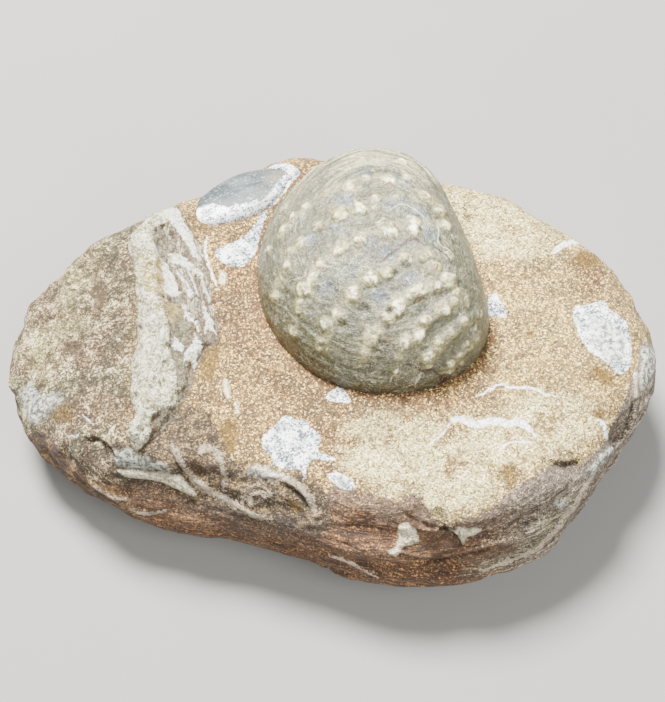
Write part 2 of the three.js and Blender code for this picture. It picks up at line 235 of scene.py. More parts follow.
# The top of the broken wall, and the broken ground above its left half, both drawn on a board that leans back
# at the camera's angle: across is the stone's length, and up is the board's own height.
WALL_EDGE = [
    (-64.8, -5.1), (-59.8, -9.4), (-56.3, -12.4), (-52.8, -15.3), (-45.7, -15.9), (-43.4, -14.7),
    (-36.8, -15), (-33.6, -16.7), (-30.4, -18.6), (-27.1, -18.8), (-21.8, -20.6), (-15.4, -22.9),
    (-8.9, -22.6), (-4.7, -23.2), (-2.6, -22.5), (-1.4, -18.9), (-0.3, -16.2), (0.7, -15), (2.6, -15.4),
    (6.7, -16.3), (9.8, -17.5), (12.3, -18.3), (13.5, -19.1), (14.6, -17.7), (16.5, -17.1), (18.1, -17.9),
    (19.5, -19.7), (20.7, -21.8), (22.3, -23.4), (24.4, -23.8), (26.3, -22.7), (32.5, -20.1), (37.2, -16.3),
    (40, -14.3), (43.2, -12.5), (46.6, -10.8), (51.8, -10.9), (54.6, -9.8), (58.5, -5.9), (60.1, -3.2),
    (62.1, 0.5), (64.2, 3.9), (66.5, 8.6), (68.1, 14.1),
]
RUBBLE = [[
    (-48.3, -6.2), (-44.6, -7), (-41.5, -7.3), (-38.3, -5.2), (-35.4, -2.9), (-32.5, -0.3), (-29.4, 0.6),
    (-26, -1.5), (-24.2, -5.6), (-21.5, -9.7), (-18.1, -11.8), (-14.7, -12.2), (-11, -13.4), (-7.2, -13),
    (-3.8, -15), (-1.4, -18.3), (-0.5, -22.6), (-3.5, -24.9), (-15, -23.6), (-25, -20.7), (-30.4, -19.1),
    (-36.8, -15.2), (-43.4, -14.9), (-47.2, -12.7),
]]
RUBBLE_AT, RUBBLE_REACH = (-26.0, -12.0), 26.0


def board_height(y, z):
    """How high a point stands on a board that leans back at the camera's angle."""
    return y * math.sin(VIEW_HEIGHT) + z * math.cos(VIEW_HEIGHT)


def fine_relief(x, y, z, front, top):
    """Beds and chips on the walls, shallow hollows and grain on the upper face, in millimetres outwards."""
    bed = z + 0.9 * lumps(x / 14, y / 14, z / 9, 11) + 0.03 * x
    wall = (1 - top) * (0.25 + 0.75 * front)
    relief = wall * (0.34 * lumps(x / 16, y / 16, bed / 1.5, 12) + 0.26 * lumps(x / 6, y / 6, bed / 0.9, 13))
    relief += (1 - top) * (0.5 * lumps(x / 4, y / 4, z / 3, 14) + 0.28 * lumps(x / 1.8, y / 1.8, z / 1.4, 15))
    relief += top * (0.22 * even_lumps(x, y, z, 5, 16) + 0.12 * even_lumps(x, y, z, 2, 17))
    relief += (0.06 + 0.03 * front) * even_lumps(x, y, z, 0.9, 18)
    left = fade(-44, -56, x) * fade(8, 16, z)
    relief += left * (0.5 * even_lumps(x, y, z, 4.6, 19) + 0.35 * even_lumps(x, y, z, 2.1, 20))
    rubble = hump(np.hypot(x - RUBBLE_AT[0], 1.8 * (board_height(y, z) - RUBBLE_AT[1])), RUBBLE_REACH)
    broken = 0.6 * lumps(x / 3.4, y / 3.4, z / 2.6, 21) + 0.35 * lumps(x / 1.7, y / 1.7, z / 1.5, 22)
    relief += rubble * broken
    for centre, reach, depth in FINE_PITS:
        relief -= depth * round_hump(x, y, z, centre, reach)
    return relief


def stone_field(p):
    """Below 0 inside the stone, and above 0 outside it."""
    x, y, z = p[:, 0], p[:, 1], p[:, 2]
    angle = np.arctan2(y, x)
    front = frontness(angle)
    up = (z - WAIST) / (STONE_TOP - WAIST)
    down = (WAIST - z) / WAIST
    lean = (4 + 4.5 * front) * np.maximum(up, 0) ** (1.9 - 0.6 * front)
    inset = np.where(up > 0, lean, 9 * down**2)
    side = np.hypot(x, y) - stone_radius(angle) + inset - wall_relief(x, y, z, front)
    over = z - upper_face(x, y)
    body = smooth_max(side, over, 7 - 4 * front)
    top = fade(-5.5, -0.5, over - side)
    low = fade(5, 12, z)
    return smooth_max(body - low * fine_relief(x, y, z, front, top), -z, FLOOR_ROUNDING)


# %% [markdown]
# ## Wrapping a skin round the rule
# An even ball of triangles is the best start for a closed pebble, because it has no poles where the mesh
# crowds together. Each point of the ball is sent out from the middle of the stone, and the stretch that holds
# the surface is halved until the point lies on it.

# %% Ball and skin
def even_ball(splits):
    """Points and triangles of an icosahedron with each edge cut into splits."""
    g = (1 + math.sqrt(5)) / 2
    corners = np.array([(-1, g, 0), (1, g, 0), (-1, -g, 0), (1, -g, 0), (0, -1, g), (0, 1, g), (0, -1, -g),
                        (0, 1, -g), (g, 0, -1), (g, 0, 1), (-g, 0, -1), (-g, 0, 1)])
    faces = [(0, 11, 5), (0, 5, 1), (0, 1, 7), (0, 7, 10), (0, 10, 11), (1, 5, 9), (5, 11, 4), (11, 10, 2),
             (10, 7, 6), (7, 1, 8), (3, 9, 4), (3, 4, 2), (3, 2, 6), (3, 6, 8), (3, 8, 9), (4, 9, 5),
             (2, 4, 11), (6, 2, 10), (8, 6, 7), (9, 8, 1)]
    points, triangles = [], []
    for a, b, c in faces:
        first = sum(len(p) for p in points)
        i, j = np.meshgrid(np.arange(splits + 1), np.arange(splits + 1), indexing="ij")
        keep = i + j <= splits
        i, j = i[keep], j[keep]
        place = -np.ones((splits + 2, splits + 2), int)
        place[i, j] = first + np.arange(len(i))
        k = splits - i - j
        points.append((np.outer(k, corners[a]) + np.outer(i, corners[b]) + np.outer(j, corners[c])) / splits)
        inner = i + j < splits
        triangles.append(np.stack([place[i, j], place[i + 1, j], place[i, j + 1]], 1)[inner])
        inner = i + j < splits - 1
        triangles.append(np.stack([place[i + 1, j], place[i + 1, j + 1], place[i, j + 1]], 1)[inner])
    points, triangles = np.concatenate(points), np.concatenate(triangles)
    unique, where = np.unique(np.round(points, 7), axis=0, return_inverse=True)
    return unique / np.linalg.norm(unique, axis=1)[:, None], where.reshape(-1)[triangles]


FARTHEST, HALVINGS = 1.7, 20


def wrap(field, centre, reach, splits):
    """The ball's points moved along their rays to where the field crosses 0, and its triangles."""
    ball, triangles = even_ball(splits)
    rays = ball * np.array(reach)
    inside, outside = np.zeros(len(rays)), np.full(len(rays), FARTHEST)
    for _ in range(HALVINGS):
        middle = (inside + outside) / 2
        is_in = field(np.array(centre) + rays * middle[:, None]) < 0
        inside, outside = np.where(is_in, middle, inside), np.where(is_in, outside, middle)
    return np.array(centre) + rays * inside[:, None], triangles


# %% Make a mesh object
def make_object(name, points, faces, layers, material, node):
    """A smooth-shaded piece from points in millimetres, with one number per point for each named layer."""
    mesh = bpy.data.meshes.new(name)
    mesh.vertices.add(len(points))
    mesh.vertices.foreach_set("co", (np.asarray(points) * MM).astype(np.float32).ravel())
    mesh.loops.add(faces.size)
    mesh.loops.foreach_set("vertex_index", faces.astype(np.int32).ravel())
    mesh.polygons.add(len(faces))
    mesh.polygons.foreach_set("loop_start", np.arange(0, faces.size, 3, dtype=np.int32))
    mesh.update(calc_edges=True)
    mesh.polygons.foreach_set("use_smooth", np.ones(len(faces), bool))
    for layer, values in layers.items():
        mesh.attributes.new(layer, "FLOAT", "POINT").data.foreach_set("value", values.astype(np.float32))
    mesh.materials.append(material)
    piece = bpy.data.objects.new(name, mesh)
    scene.collection.objects.link(piece)
    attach(piece, "root")
    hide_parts(node)
    print(name, len(mesh.vertices), "points,", len(mesh.polygons), "triangles")


def point_normals(points, faces):
    """The outward direction of the surface at each point."""
    a, b, c = (points[faces[:, k]] for k in range(3))
    across = np.cross(b - a, c - a)
    normals = np.zeros_like(points)
    for k in range(3):
        for axis in range(3):
            normals[:, axis] += np.bincount(faces[:, k], across[:, axis], len(points))
    return normals / np.maximum(np.linalg.norm(normals, axis=1), 1e-12)[:, None]


# %% [markdown]
# ## Marking out patches and lines
# The white shell sections have crisp, ragged borders, and the thin white lines are narrower than the mesh is
# fine. Painting a mask straight onto the points would blur both. So the points carry distances instead:
# how far each one is outside a patch's outline, and how far it is to the side of a line. Distances stay exact
# between points, and the material turns them into a crisp edge and adds its own raggedness.
#
# Outlines are drawn on a board that leans back at the camera's angle: across is the stone's length and up
# is the board's own height, so that one drawing covers the upper face and the front wall alike.

# %% Distances on the leaning board
def board(points):
    """Places on the leaning board: across, and up its own height."""
    return np.stack([points[:, 0], board_height(points[:, 1], points[:, 2])], 1)


def segment_distance(p, a, b):
    """Distance to the straight line between a and b."""
    along = clamp01(((p - a) @ (b - a)) / max((b - a) @ (b - a), 1e-9))
    return np.linalg.norm(p - a - along[:, None] * (b - a), axis=1)


def path_distance(p, path, far):
    """Distance to a line of points, never more than far."""
    best = np.full(len(p), far)
    for a, b in zip(path, path[1:]):
        best = np.minimum(best, segment_distance(p, a, b))
    return best


def patch_distance(p, outlines, far=4.0):
    """Distance to the nearest outline, negative inside it and never more than far."""
    best = np.full(len(p), far)
    for outline in outlines:
        ring = curve_through(outline, True, 4)
        near = np.all((p > ring.min(0) - far) & (p < ring.max(0) + far), axis=1)
        q = p[near]
        distance = np.full(len(q), far)
        inside = np.zeros(len(q), bool)
        for a, b in zip(ring, np.roll(ring, -1, axis=0)):
            distance = np.minimum(distance, segment_distance(q, a, b))
            crosses = (a[1] > q[:, 1]) != (b[1] > q[:, 1])
            at = a[0] + (q[:, 1] - a[1]) * (b[0] - a[0]) / (b[1] - a[1] if b[1] != a[1] else 1e-9)
            inside ^= crosses & (q[:, 0] < at)
        best[near] = np.minimum(best[near], np.where(inside, -distance, distance))
    return best


def line_layers(p, lines, reach=2.2):
    """For the nearest line: the distance to its side, and half its width there, below 0 away from it."""
    side = np.full(len(p), reach)
    width = np.full(len(p), -reach)
    nearest = np.full(len(p), np.inf)
    for half_width, points in lines:
        path = curve_through(points, False, 4)
        near = np.all((p > path.min(0) - reach) & (p < path.max(0) + reach), axis=1)
        q = p[near]
        count = len(path) - 1
        for k in range(count):
            a, b = path[k], path[k + 1]
            distance = segment_distance(q, a, b)
            along = ((q - a) @ (b - a)) / ((b - a) @ (b - a))
            t = (k + clamp01(along)) / count
            taper = np.minimum(1, 5 * np.minimum(t, 1 - t) + 0.25)
            length = np.linalg.norm(b - a)
            before = np.maximum(-along, 0) * (k == 0)
            beyond = np.maximum(along - 1, 0) * (k == count - 1)
            away = (q - a) @ (np.array([a[1] - b[1], b[0] - a[0]]) / length)
            half = half_width * taper - (before + beyond) * length - 5 * np.maximum(np.abs(away) - 1.2, 0)
            better = (distance < nearest[near]) & (distance < reach)
            index = np.flatnonzero(near)[better]
            nearest[index], side[index], width[index] = distance[better], away[better], half[better]
    return side, width


def all_line_layers(p, **kinds):
    """The two layers of each kind of line, under its name with _side and _width added."""
    layers = {}
    for name, lines in kinds.items():
        layers[name + "_side"], layers[name + "_width"] = line_layers(p, lines)
    return layers


def on_line(layers, name, reach):
    """1 on a kind of line, and 0 from reach beside it on."""
    return fade(reach, 0.1, np.abs(layers[name + "_side"])) * (layers[name + "_width"] > 0)


# %% [markdown]
# ## What shows in the stone
# These are the markings of this very stone: white speckled sections of shell, thin white lines where shells
# are cut edge-on, amber and ochre iron stains, brown ovals at the left end, and paler sandy ground at the
# right rear and along the front edge.

# %% Markings on the board
WHITE_PATCHES = [
    [(53.3, 22.4), (56.3, 23), (58.6, 23.5), (60.6, 23.9), (61.3, 21.9), (62.8, 21.2), (65, 19.2),
     (65.1, 17.4), (65.7, 15), (65.3, 10.4), (63, 7.8), (60.8, 9.1), (57.7, 11.7), (56.5, 12.3), (55.1, 14.5),
     (53.6, 18.3)],
    [(34.8, 24.6), (36, 26), (37, 24.6), (37.8, 23), (38.6, 21.2), (37.2, 19.9), (35.9, 20.3), (34.6, 20.8)],
    [(-26.8, 34.8), (-26, 36), (-23.3, 37.2), (-21.7, 37.9), (-18.6, 40.5), (-16.8, 43.6), (-15.3, 45.3),
     (-14.8, 44.3), (-16.1, 41), (-17.3, 35.5), (-18.6, 33.4), (-20.8, 31.8), (-24.3, 32.5)],
    [(-14.5, 46), (-11.9, 48.5), (-9.4, 51.9), (-7.6, 54.6), (-10.9, 57), (-15, 56), (-16, 50)],
    [(-14.9, -6.3), (-14.5, -5), (-13, -3.8), (-11.8, -2.8), (-9.9, -1.1), (-7.8, -1.9), (-5.4, -2.1),
     (-4.8, -3.4), (-2.6, -5.4), (-3, -8.1), (-1.4, -9.1), (0.6, -9.9), (-1.4, -10.2), (-4.3, -10.1),
     (-5.3, -11.7), (-6, -14), (-6.4, -12), (-8.9, -12.1), (-12, -11.1), (-12.7, -9.7), (-14.6, -7.7)],
    [(-0.9, -13.3), (0.1, -12.7), (1.6, -12.8), (3, -13.6), (4.7, -15.6), (2.4, -16.2), (-0.3, -14.3)],
    [(-1.4, 2.9), (0.1, 4.4), (1.6, 4.8), (3.1, 3.5), (3.7, 1.8), (2.2, 1.6), (0.5, 2)],
    [(56.2, -2.0), (57.6, -2.2), (58.5, -3.5), (59.0, -5.5), (58.8, -6.5), (58.0, -5.4), (57.8, -4.1),
     (56.9, -3.1)],
]
CREAM_SHELL = [
    [(13.6, -23.6), (15, -22.9), (16.9, -24), (18, -26.2), (16.6, -27.5), (14.7, -28.2), (13.5, -29.9),
     (12.2, -29.9), (11.8, -29.1), (13.2, -28), (13.8, -26)],
    [(24.3, -24.6), (25.8, -23.8), (27.6, -24), (29.5, -23.8), (30.9, -24.5), (29.4, -25.6), (27.8, -26.2),
     (27.4, -27.8), (26.7, -26.9), (25.6, -25.5)],
    [(-45.9, -12.7), (-43.1, -12.4), (-39.8, -12.6), (-36.6, -12.9), (-33.3, -13.3), (-31.5, -14.2),
     (-30.3, -15.9), (-28.8, -18.1), (-30.8, -17.7), (-33.4, -16.5), (-36.8, -15), (-40, -14.6),
     (-43.8, -14.2)],
    [(-25.3, 29.9), (-24.4, 31.1), (-23.6, 28.8), (-24.5, 27.1), (-25.4, 28.1)],
    [(-23.6, 5.9), (-22.7, 6.5), (-22, 3.9), (-22.1, 2.3), (-23, 3.1)],
    [(-21, 1.6), (-20.2, 1.6), (-19.7, -0.3), (-20.5, -0.9)],
]
GREY_SHELL = [
    [(-69.6, 3.6), (-67.5, 5.5), (-65.9, 4.6), (-64.3, 2.8), (-61.9, 3.5), (-59.4, 2.9), (-60.2, 1.2),
     (-63.7, -2), (-65.3, -3.4), (-67.4, -2.1), (-69.1, 0.1)],
    [(-46.5, -8.8), (-44.6, -8.3), (-42.6, -8.2), (-40.6, -9.2), (-38.5, -10.3), (-36.4, -11.1), (-33.8, -12),
     (-35.4, -12.4), (-38.7, -12.3), (-42, -12.2), (-44.9, -12.2), (-46.2, -10.9)],
    [(-17.3, -11.8), (-14.7, -11.6), (-12, -12.6), (-9.9, -13), (-11, -14), (-14.1, -13.9), (-16.8, -13)],
    [(56.4, 19.2), (59.2, 20.1), (61.7, 18.5), (63.8, 16.3), (63.8, 12.6), (62.2, 9.7), (57.6, 13)],
    [(68, 12.6), (69.3, 14.1), (72, 12.6), (72, 9.7), (70.5, 6.4), (68.3, 4.7), (66.9, 5.6), (68.1, 10.4)],
    [(1, -13.9), (2.2, -14), (3.2, -15.3), (1.6, -15.3)],
    [(61.5, -8.1), (59.2, -9.8), (56.6, -12.2), (54.8, -14.3), (53.9, -13.4), (56, -10.9), (58.5, -8.5),
     (60.4, -7.3)],
    [(47.1, -19.5), (48.6, -18.3), (49.6, -19.5), (48, -20.4)],
]
WHITE_LINES = [
    (0.26,
     [(30.3, 2.9), (32.5, 3.7), (35.6, 5.4), (36.9, 5.7), (38.1, 4.8), (42.8, 4.8), (45.5, 3.5),
      (48.1, 2.9)]),
    (0.16, [(19, -7.7), (21, -6.5), (22.7, -5.4), (24.2, -3.6), (25.2, -2.4)]),
    (0.76,
     [(24.6, -2.9), (26.2, -1.7), (28.4, -2.2), (30.2, -2.9), (32.4, -2.5), (34.9, -2.2), (37.2, -2.6),
      (39.7, -2.5), (41.6, -3.8), (42.9, -5.4)]),
    (0.22, [(34.5, -8.5), (35.8, -7.3), (37.3, -6.7), (39.5, -6.4), (42.2, -6.5)]),
    (0.6, [(49.6, 34.6), (50.7, 35.8), (52.1, 36.7), (54.2, 37.5), (56.5, 37.6)]),
    (0.3, [(-28.6, 39.1), (-29, 36.5), (-28.4, 33.9), (-27.8, 32), (-26.8, 29.4), (-25.8, 27.1)]),
    (0.62,
     [(-33.8, -6.9), (-32.7, -9.1), (-31.2, -11.7), (-29.5, -14.2), (-27, -16.3), (-24.3, -18),
      (-21.5, -19.3), (-19, -20.8), (-16, -22.2), (-12.8, -22.6)]),
    (0.5,
     [(-28.2, -9.1), (-27.2, -7.9), (-25.3, -7.9), (-23.8, -9.3), (-23, -11.4), (-22.6, -14), (-23, -16.7)]),
    (0.5,
     [(-14.7, -13.4), (-12.2, -13.4), (-9.3, -14), (-7, -15.4), (-5.3, -17.1), (-4.3, -19.2), (-3.5, -21.8)]),
    (0.16, [(-18.9, -19.5), (-18.3, -17), (-16.4, -15.6), (-14.1, -15.9), (-12.7, -17.6)]),
    (0.16, [(-17.4, -20), (-16.9, -17.9), (-15.4, -17), (-13.9, -18.2)]),
    (0.2, [(-44.4, -20.9), (-42.4, -22.3), (-39.6, -22.4), (-36.1, -21.7)]),
    (0.25, [(-52.4, -16.2), (-49.7, -17.9), (-47.2, -19.2), (-44.2, -19.2)]),
    (0.3, [(-0.5, -30.6), (2.7, -31.7), (5.2, -33.1), (7.6, -34.4), (10.1, -35.6)]),
    (0.5, [(66, 8.2), (66.3, 5.6), (66, 2.7)]),
    (0.35,
     [(53.9, -17.4), (51, -20.7), (48.5, -24.2), (45.5, -27.6), (41.7, -30.3), (36.7, -32.2), (31.3, -33.8)]),
    (0.25, [(55.3, -14.3), (52.6, -17.7), (50.1, -21.5), (47.6, -25)]),
    (0.14, [(-54.2, -0.9), (-52.7, -2.1), (-51.2, -3.1)]),
    (0.14, [(-57.4, -5.7), (-55.4, -5.6), (-54.4, -4.9)]),
]
AMBER = [
    [(-24.1, -2.8), (-22.8, -1.9), (-20.5, -1.9), (-20, -4), (-20.1, -6.5), (-20.7, -8.7), (-22.4, -7.7)],
    [(-28.2, 15.2), (-26.8, 16.1), (-25.4, 15.2), (-25.6, 13), (-28, 8.2), (-28.8, 7.8), (-28.6, 13)],
    [(-61.6, -0.2), (-59.7, 1), (-56.7, 0.4), (-56.1, -1.8), (-58.5, -3.1), (-61, -2.3)],
    [(54.6, 33), (56.2, 35.4), (60.5, 35), (60.8, 32.6), (58.5, 31.1), (55.8, 31.6)],
    [(56, 9.5), (58.1, 9.1), (60.7, 7.3), (60, 5.2), (57.8, 5.6), (56.2, 7.4)],
    [(42, 16.5), (43.4, 17.6), (44.6, 16.5), (43.2, 15.2)],
    [(55, -0.3), (56.9, 0.5), (58.7, -0.3), (57.2, -2)],
    [(34.9, -12.1), (37.5, -10.5), (39.1, -12.1), (38.1, -14.9), (36, -15.7)],
    [(-31.4, 44.9), (-29, 44.3), (-27.5, 42.4), (-28.9, 40.5), (-30.8, 42)],
    [(-9.3, -18.1), (-7.6, -18.5), (-6.2, -20.2), (-7.2, -21.3), (-8.9, -20.3)],
    [(-27.9, 17.4), (-25.8, 18.5), (-24.1, 14.1), (-25.6, 7.6), (-27.7, 6.5), (-28.8, 10.4)],
]
PALE_WALL = [
    [(37, -29.5), (39.5, -26.8), (42, -25), (44.8, -22.5), (47.2, -20.5), (50, -17), (52, -17.5), (49, -23),
     (45, -28), (41, -30.5), (34, -33.5), (28, -34.8), (29, -33.6)],
]
RUSTY = [
    [(14.5, -20.5), (16.4, -21.4), (19.2, -23.2), (22.3, -24.8), (25.5, -26.6), (27.6, -27.8), (26.7, -29.4),
     (22.4, -28.4), (19.3, -28.8), (16.2, -30.2), (14.1, -29.2), (17.8, -26.6), (17.3, -24.4), (15.6, -22.6)],
    [(14.5, -29.2), (18.2, -28.8), (22.5, -29.3), (28.7, -28.5), (37.4, -28.4), (39.8, -29.5), (35.4, -30.6),
     (28.9, -30.4), (22.7, -31.4), (17.3, -31.2)],
    [(-30.3, -10.6), (-28.7, -10.2), (-26.8, -10.8), (-25.3, -12.3), (-26.3, -13.7), (-28.6, -13.3),
     (-30, -12.4)],
]
WARM_GROUND = [
    [(-23.9, 41), (-17, 40), (-17.7, 32.9), (-17.9, 24.2), (-16.3, 16.3), (-12.5, 10.4), (-7, 5.4),
     (-1.6, 3.3), (-7, 1.8), (-15.1, 4.8), (-20.5, 10.4), (-24.2, 16.3), (-26.3, 24.2), (-26.3, 33.4)],
    [(-1.6, 3.5), (5.9, 2.7), (14.4, 2.3), (23, 3.3), (29.6, 5.4), (34.5, 8.2), (36, 5.4), (29.4, 1.8),
     (20.7, -0.7), (10.1, -1.5), (1.6, -0.3)],
    [(52.8, 33.9), (60, 34.5), (63.1, 30.8), (66.4, 24.3), (64.3, 21.9), (60.1, 24.2), (56.2, 24.2),
     (53.6, 27.6)],
    [(-4.8, -1.5), (0.5, -1.9), (3.7, -6.1), (2.6, -10.5), (-1.6, -12.1), (-3, -8.1)],
]
BROWN = [
    [(-59.9, 13.9), (-58.5, 15.1), (-56.6, 15), (-55.5, 13.9), (-56.1, 12.6), (-58.3, 12.2)],
    [(-54.1, 26.6), (-52.8, 28.2), (-51.1, 28), (-50.5, 26.1), (-51.5, 24.3), (-53.1, 24.3)],
    [(-54, 23.4), (-52.7, 24.3), (-51.2, 23.4), (-52, 21.8), (-53.4, 22)],
]
PALE_GROUND = [
    [(37, -1), (41, 3), (47, 3.5), (53, 2), (57, -1), (56, -5), (51, -8), (46, -9.5), (42, -9), (40, -5)],
    [(21.2, 49), (30, 52), (40, 48), (50, 42), (56, 38), (50, 38.6), (48.8, 35.7), (46, 34.3), (37.8, 34.1),
     (29.3, 35.4), (25.6, 43)],
    [(4.1, -1.9), (10.1, -0.9), (18.6, -1.9), (29.2, -1.5), (41.8, -3), (45.4, -6), (39.1, -12.1),
     (34.7, -16.1), (28.3, -20.1), (20.1, -21.1), (14, -17.5), (7.8, -15.8), (2.6, -12.2), (2, -7.1)],
    [(-70.1, 12.6), (-66.1, 19.9), (-60.5, 21.6), (-56.4, 18.4), (-61, 16.2), (-63, 10.8), (-61.6, 5.5)],
    [(-61, 31), (-57, 34), (-53.5, 33.2), (-55, 29), (-58.8, 24.4), (-61.4, 26.7)],
]
# Crevices, each as its half width and its points. They are sunk under a lip, and painted dark as shade.
CREVICES = [
    (0.6, [(44, -10.4), (46.8, -11), (49.1, -11.4), (51.9, -10.7)]),
    (0.4, [(65.7, 1.7), (65.2, -0.5), (64.4, -3.1), (63.1, -5.3), (61, -7.4)]),
    (0.4, [(14.1, -20.1), (16.4, -22), (18.9, -23.2), (21.5, -24), (23.9, -24.4), (25.6, -25.5), (27, -28)]),
    (0.3, [(14.1, -30.1), (18.4, -31.3), (22.7, -31.4), (26.8, -30.3), (30.9, -29.4), (35.1, -28.2)]),
    (0.4, [(-52.5, -6.6), (-50.2, -6.4), (-47.8, -7.9), (-46.4, -9.8)]),
    (0.2, [(-10.5, -15.2), (-8.2, -16.4), (-6.5, -18), (-5.4, -20)]),
    (0.2, [(-34.6, -8), (-33.2, -10.6), (-31.6, -13.2)]),
]
print(len(WHITE_PATCHES), "white patches and", len(WHITE_LINES), "white lines")

# %% [markdown]
# ## The form of the clam
# The clam is a dome over a lopsided outline, high to its keel on the right and rounded elsewhere. Ten rows of
# knobs bow across it from the keel to the front margin and run close together towards the beak at the lower
# right. Each knob is a worn tubercle three to four millimetres across. The largest ones have lost their skin,
# which is why they show white.

# %% Rules for the clam
SHELL_PEAK = np.array([10.5, 12.0])
SHELL_SEAT, SHELL_RISE, SHELL_BOTTOM = 35.0, 21.0, 30.0
SHELL_OUTLINE = [
    (34.2, 0.5), (32.2, 12), (29.2, 22.5), (25.8, 32.5), (21.5, 40), (14.5, 44.8), (5.5, 45.5), (-3, 41.5),
    (-9.5, 35), (-14, 27), (-16.6, 17), (-16, 6), (-12, -3.5), (-5.5, -11), (3.5, -16), (13, -17.2),
    (22, -15.2), (29, -11), (33, -5.7),
]
KNOB_ROWS = [
    ((31, -7), (28.3, -10.4), (25, -13.6), 4, 1.3), ((31, -4.5), (25.3, -9.5), (20, -14.4), 5, 1.5),
    ((28, -2.5), (20.5, -7.8), (13, -15.6), 8, 1.5), ((24.8, -0.8), (14, -5.3), (6.8, -14), 7, 1.8),
    ((24, 5), (9, 0.3), (-2.3, -11), 8, 1.9), ((24, 13), (2, 7), (-8.2, -6.5), 9, 2.0),
    ((23.8, 18), (3, 17), (-12.6, 2.5), 10, 1.9), ((21, 26), (3, 24), (-14, 13), 9, 1.8),
    ((17, 33), (4, 33), (-11, 24), 8, 1.6), ((13, 39), (5, 40), (-4, 36), 5, 1.4),
]
shell_radius = radius_about(SHELL_OUTLINE, SHELL_PEAK)


def dome_height(share, angle):
    """Height over the seat, with a fuller side towards the keel."""
    keel_side = clamp01(np.cos(angle - 0.15)) ** 2
    return SHELL_RISE * np.sqrt(clamp01(1 - share ** (2.15 + 1.6 * keel_side)))


def scatter(n):
    """A fixed random number between -1 and 1 for each whole number."""
    wave = math.sin(n * 12.9898) * 43758.5453
    return 2 * (wave - math.floor(wave)) - 1


def knobs_and_ribs():
    """Every knob as (x, y, radius), and every row as a line of points, all in plan."""
    knobs, ribs = [], []
    for r, (start, middle, end, count, radius) in enumerate(KNOB_ROWS):
        start, middle, end = (np.array(p, float) for p in (start, middle, end))
        bow = 2 * middle - (start + end) / 2
        at = lambda t: (1 - t) ** 2 * start + 2 * t * (1 - t) * bow + t * t * end
        ribs.append(np.array([at(k / 12) for k in range(13)]))
        for k in range(count):
            n = 40 * r + 3 * k
            x, y = at(k / (count - 1)) + 0.6 * np.array([scatter(n), scatter(n + 1)])
            knobs.append((x, y, radius * (1 + 0.2 * scatter(n + 2))))
    return knobs, ribs


knobs, ribs = knobs_and_ribs()


def shell_polar(x, y, grow=0.0):
    """Places in plan as a share of the way from the peak to the outline, and an angle."""
    away = np.stack([x, y], 1) - SHELL_PEAK
    angle = np.arctan2(away[:, 1], away[:, 0])
    return np.linalg.norm(away, axis=1) / (shell_radius(angle) + grow), angle


def shell_height(x, y, grow=0.0):
    """Height of the worn dome without its knobs."""
    share, angle = shell_polar(x, y, grow)
    share = np.minimum(share, 1)
    uneven = 0.35 * lumps(x / 9, y / 9, 0 * x, 6) + grow
    return SHELL_SEAT + dome_height(share, angle) + uneven * fade(1, 0.85, share)


print(len(knobs), "knobs in", len(ribs), "rows")

# %% [markdown]
# ## Rings of triangles
# A dome over an outline is covered best by rings, each with six more points than the one inside it. The rings
# crowd together towards the margin, where the dome is steep. The same grid, slightly enlarged, makes the
# socket that the clam fills in the stone.

# %% Closed solid under a dome
def ring_solid(rings, grow):
    """Points and triangles of the clam's dome with a wall below it and a flat bottom."""
    points, faces = [], []
    first = lambda ring: 0 if ring == 0 else 1 + 3 * ring * (ring - 1)
    for ring in range(rings + 1):
        share = math.sin(ring / rings * math.pi / 2)
        turn = np.arange(max(1, 6 * ring)) / max(1, 6 * ring) * 2 * math.pi
        angle = np.arctan2(np.sin(turn), np.cos(turn))
        out = share * (shell_radius(angle) + grow)
        x, y = SHELL_PEAK[0] + out * np.cos(angle), SHELL_PEAK[1] + out * np.sin(angle)
        points.append(np.stack([x, y, shell_height(x, y, grow)], 1))
    for ring in range(1, rings + 1):
        side, k = np.divmod(np.arange(6 * ring), ring)
        outer = first(ring) + side * ring + k
        after = first(ring) + (side * ring + k + 1) % (6 * ring)
        around = max(1, 6 * (ring - 1))
        inner = first(ring - 1) + (side * (ring - 1) + k) % around
        beyond = first(ring - 1) + (side * (ring - 1) + k + 1) % around
        faces.append(np.stack([outer, after, inner], 1))
        more = k < ring - 1
        faces.append(np.stack([inner, after, beyond], 1)[more])
    border = first(rings) + np.arange(6 * rings)
    return close_below(np.concatenate(points), np.concatenate(faces), border, SHELL_BOTTOM - grow)


def close_below(points, faces, border, bottom, levels=6):
    """Walls down from an anticlockwise border, in a few levels, and a fan of triangles across the bottom."""
    rings = [border]
    for level in range(1, levels + 1):
        ring = points[border].copy()
        ring[:, 2] += (bottom - ring[:, 2]) * level / levels
        rings.append(len(points) + np.arange(len(border)))
        points = np.concatenate([points, ring])
    parts = [faces]
    for upper, lower in zip(rings, rings[1:]):
        upper_next, lower_next = np.roll(upper, -1), np.roll(lower, -1)
        parts += [np.stack([upper, lower, lower_next], 1), np.stack([upper, lower_next, upper_next], 1)]
    middle = points[rings[-1]].mean(0)
    points = np.concatenate([points, middle[None]])
    parts.append(np.stack([np.roll(rings[-1], -1), rings[-1], np.full(len(border), len(points) - 1)], 1))
    return points, np.concatenate(parts)


# %% [markdown]
# ## Sculpting the clam
# Everything that stands out of the dome is pushed along the dome's own direction, so that knobs on the steep
# sides lean outwards as they do on the real shell. The rows are joined by low ribs, which grow into plain
# ridges near the beak. Growth lines run parallel to the margin, and the weathered upper half is a stack of
# thin worn layers.

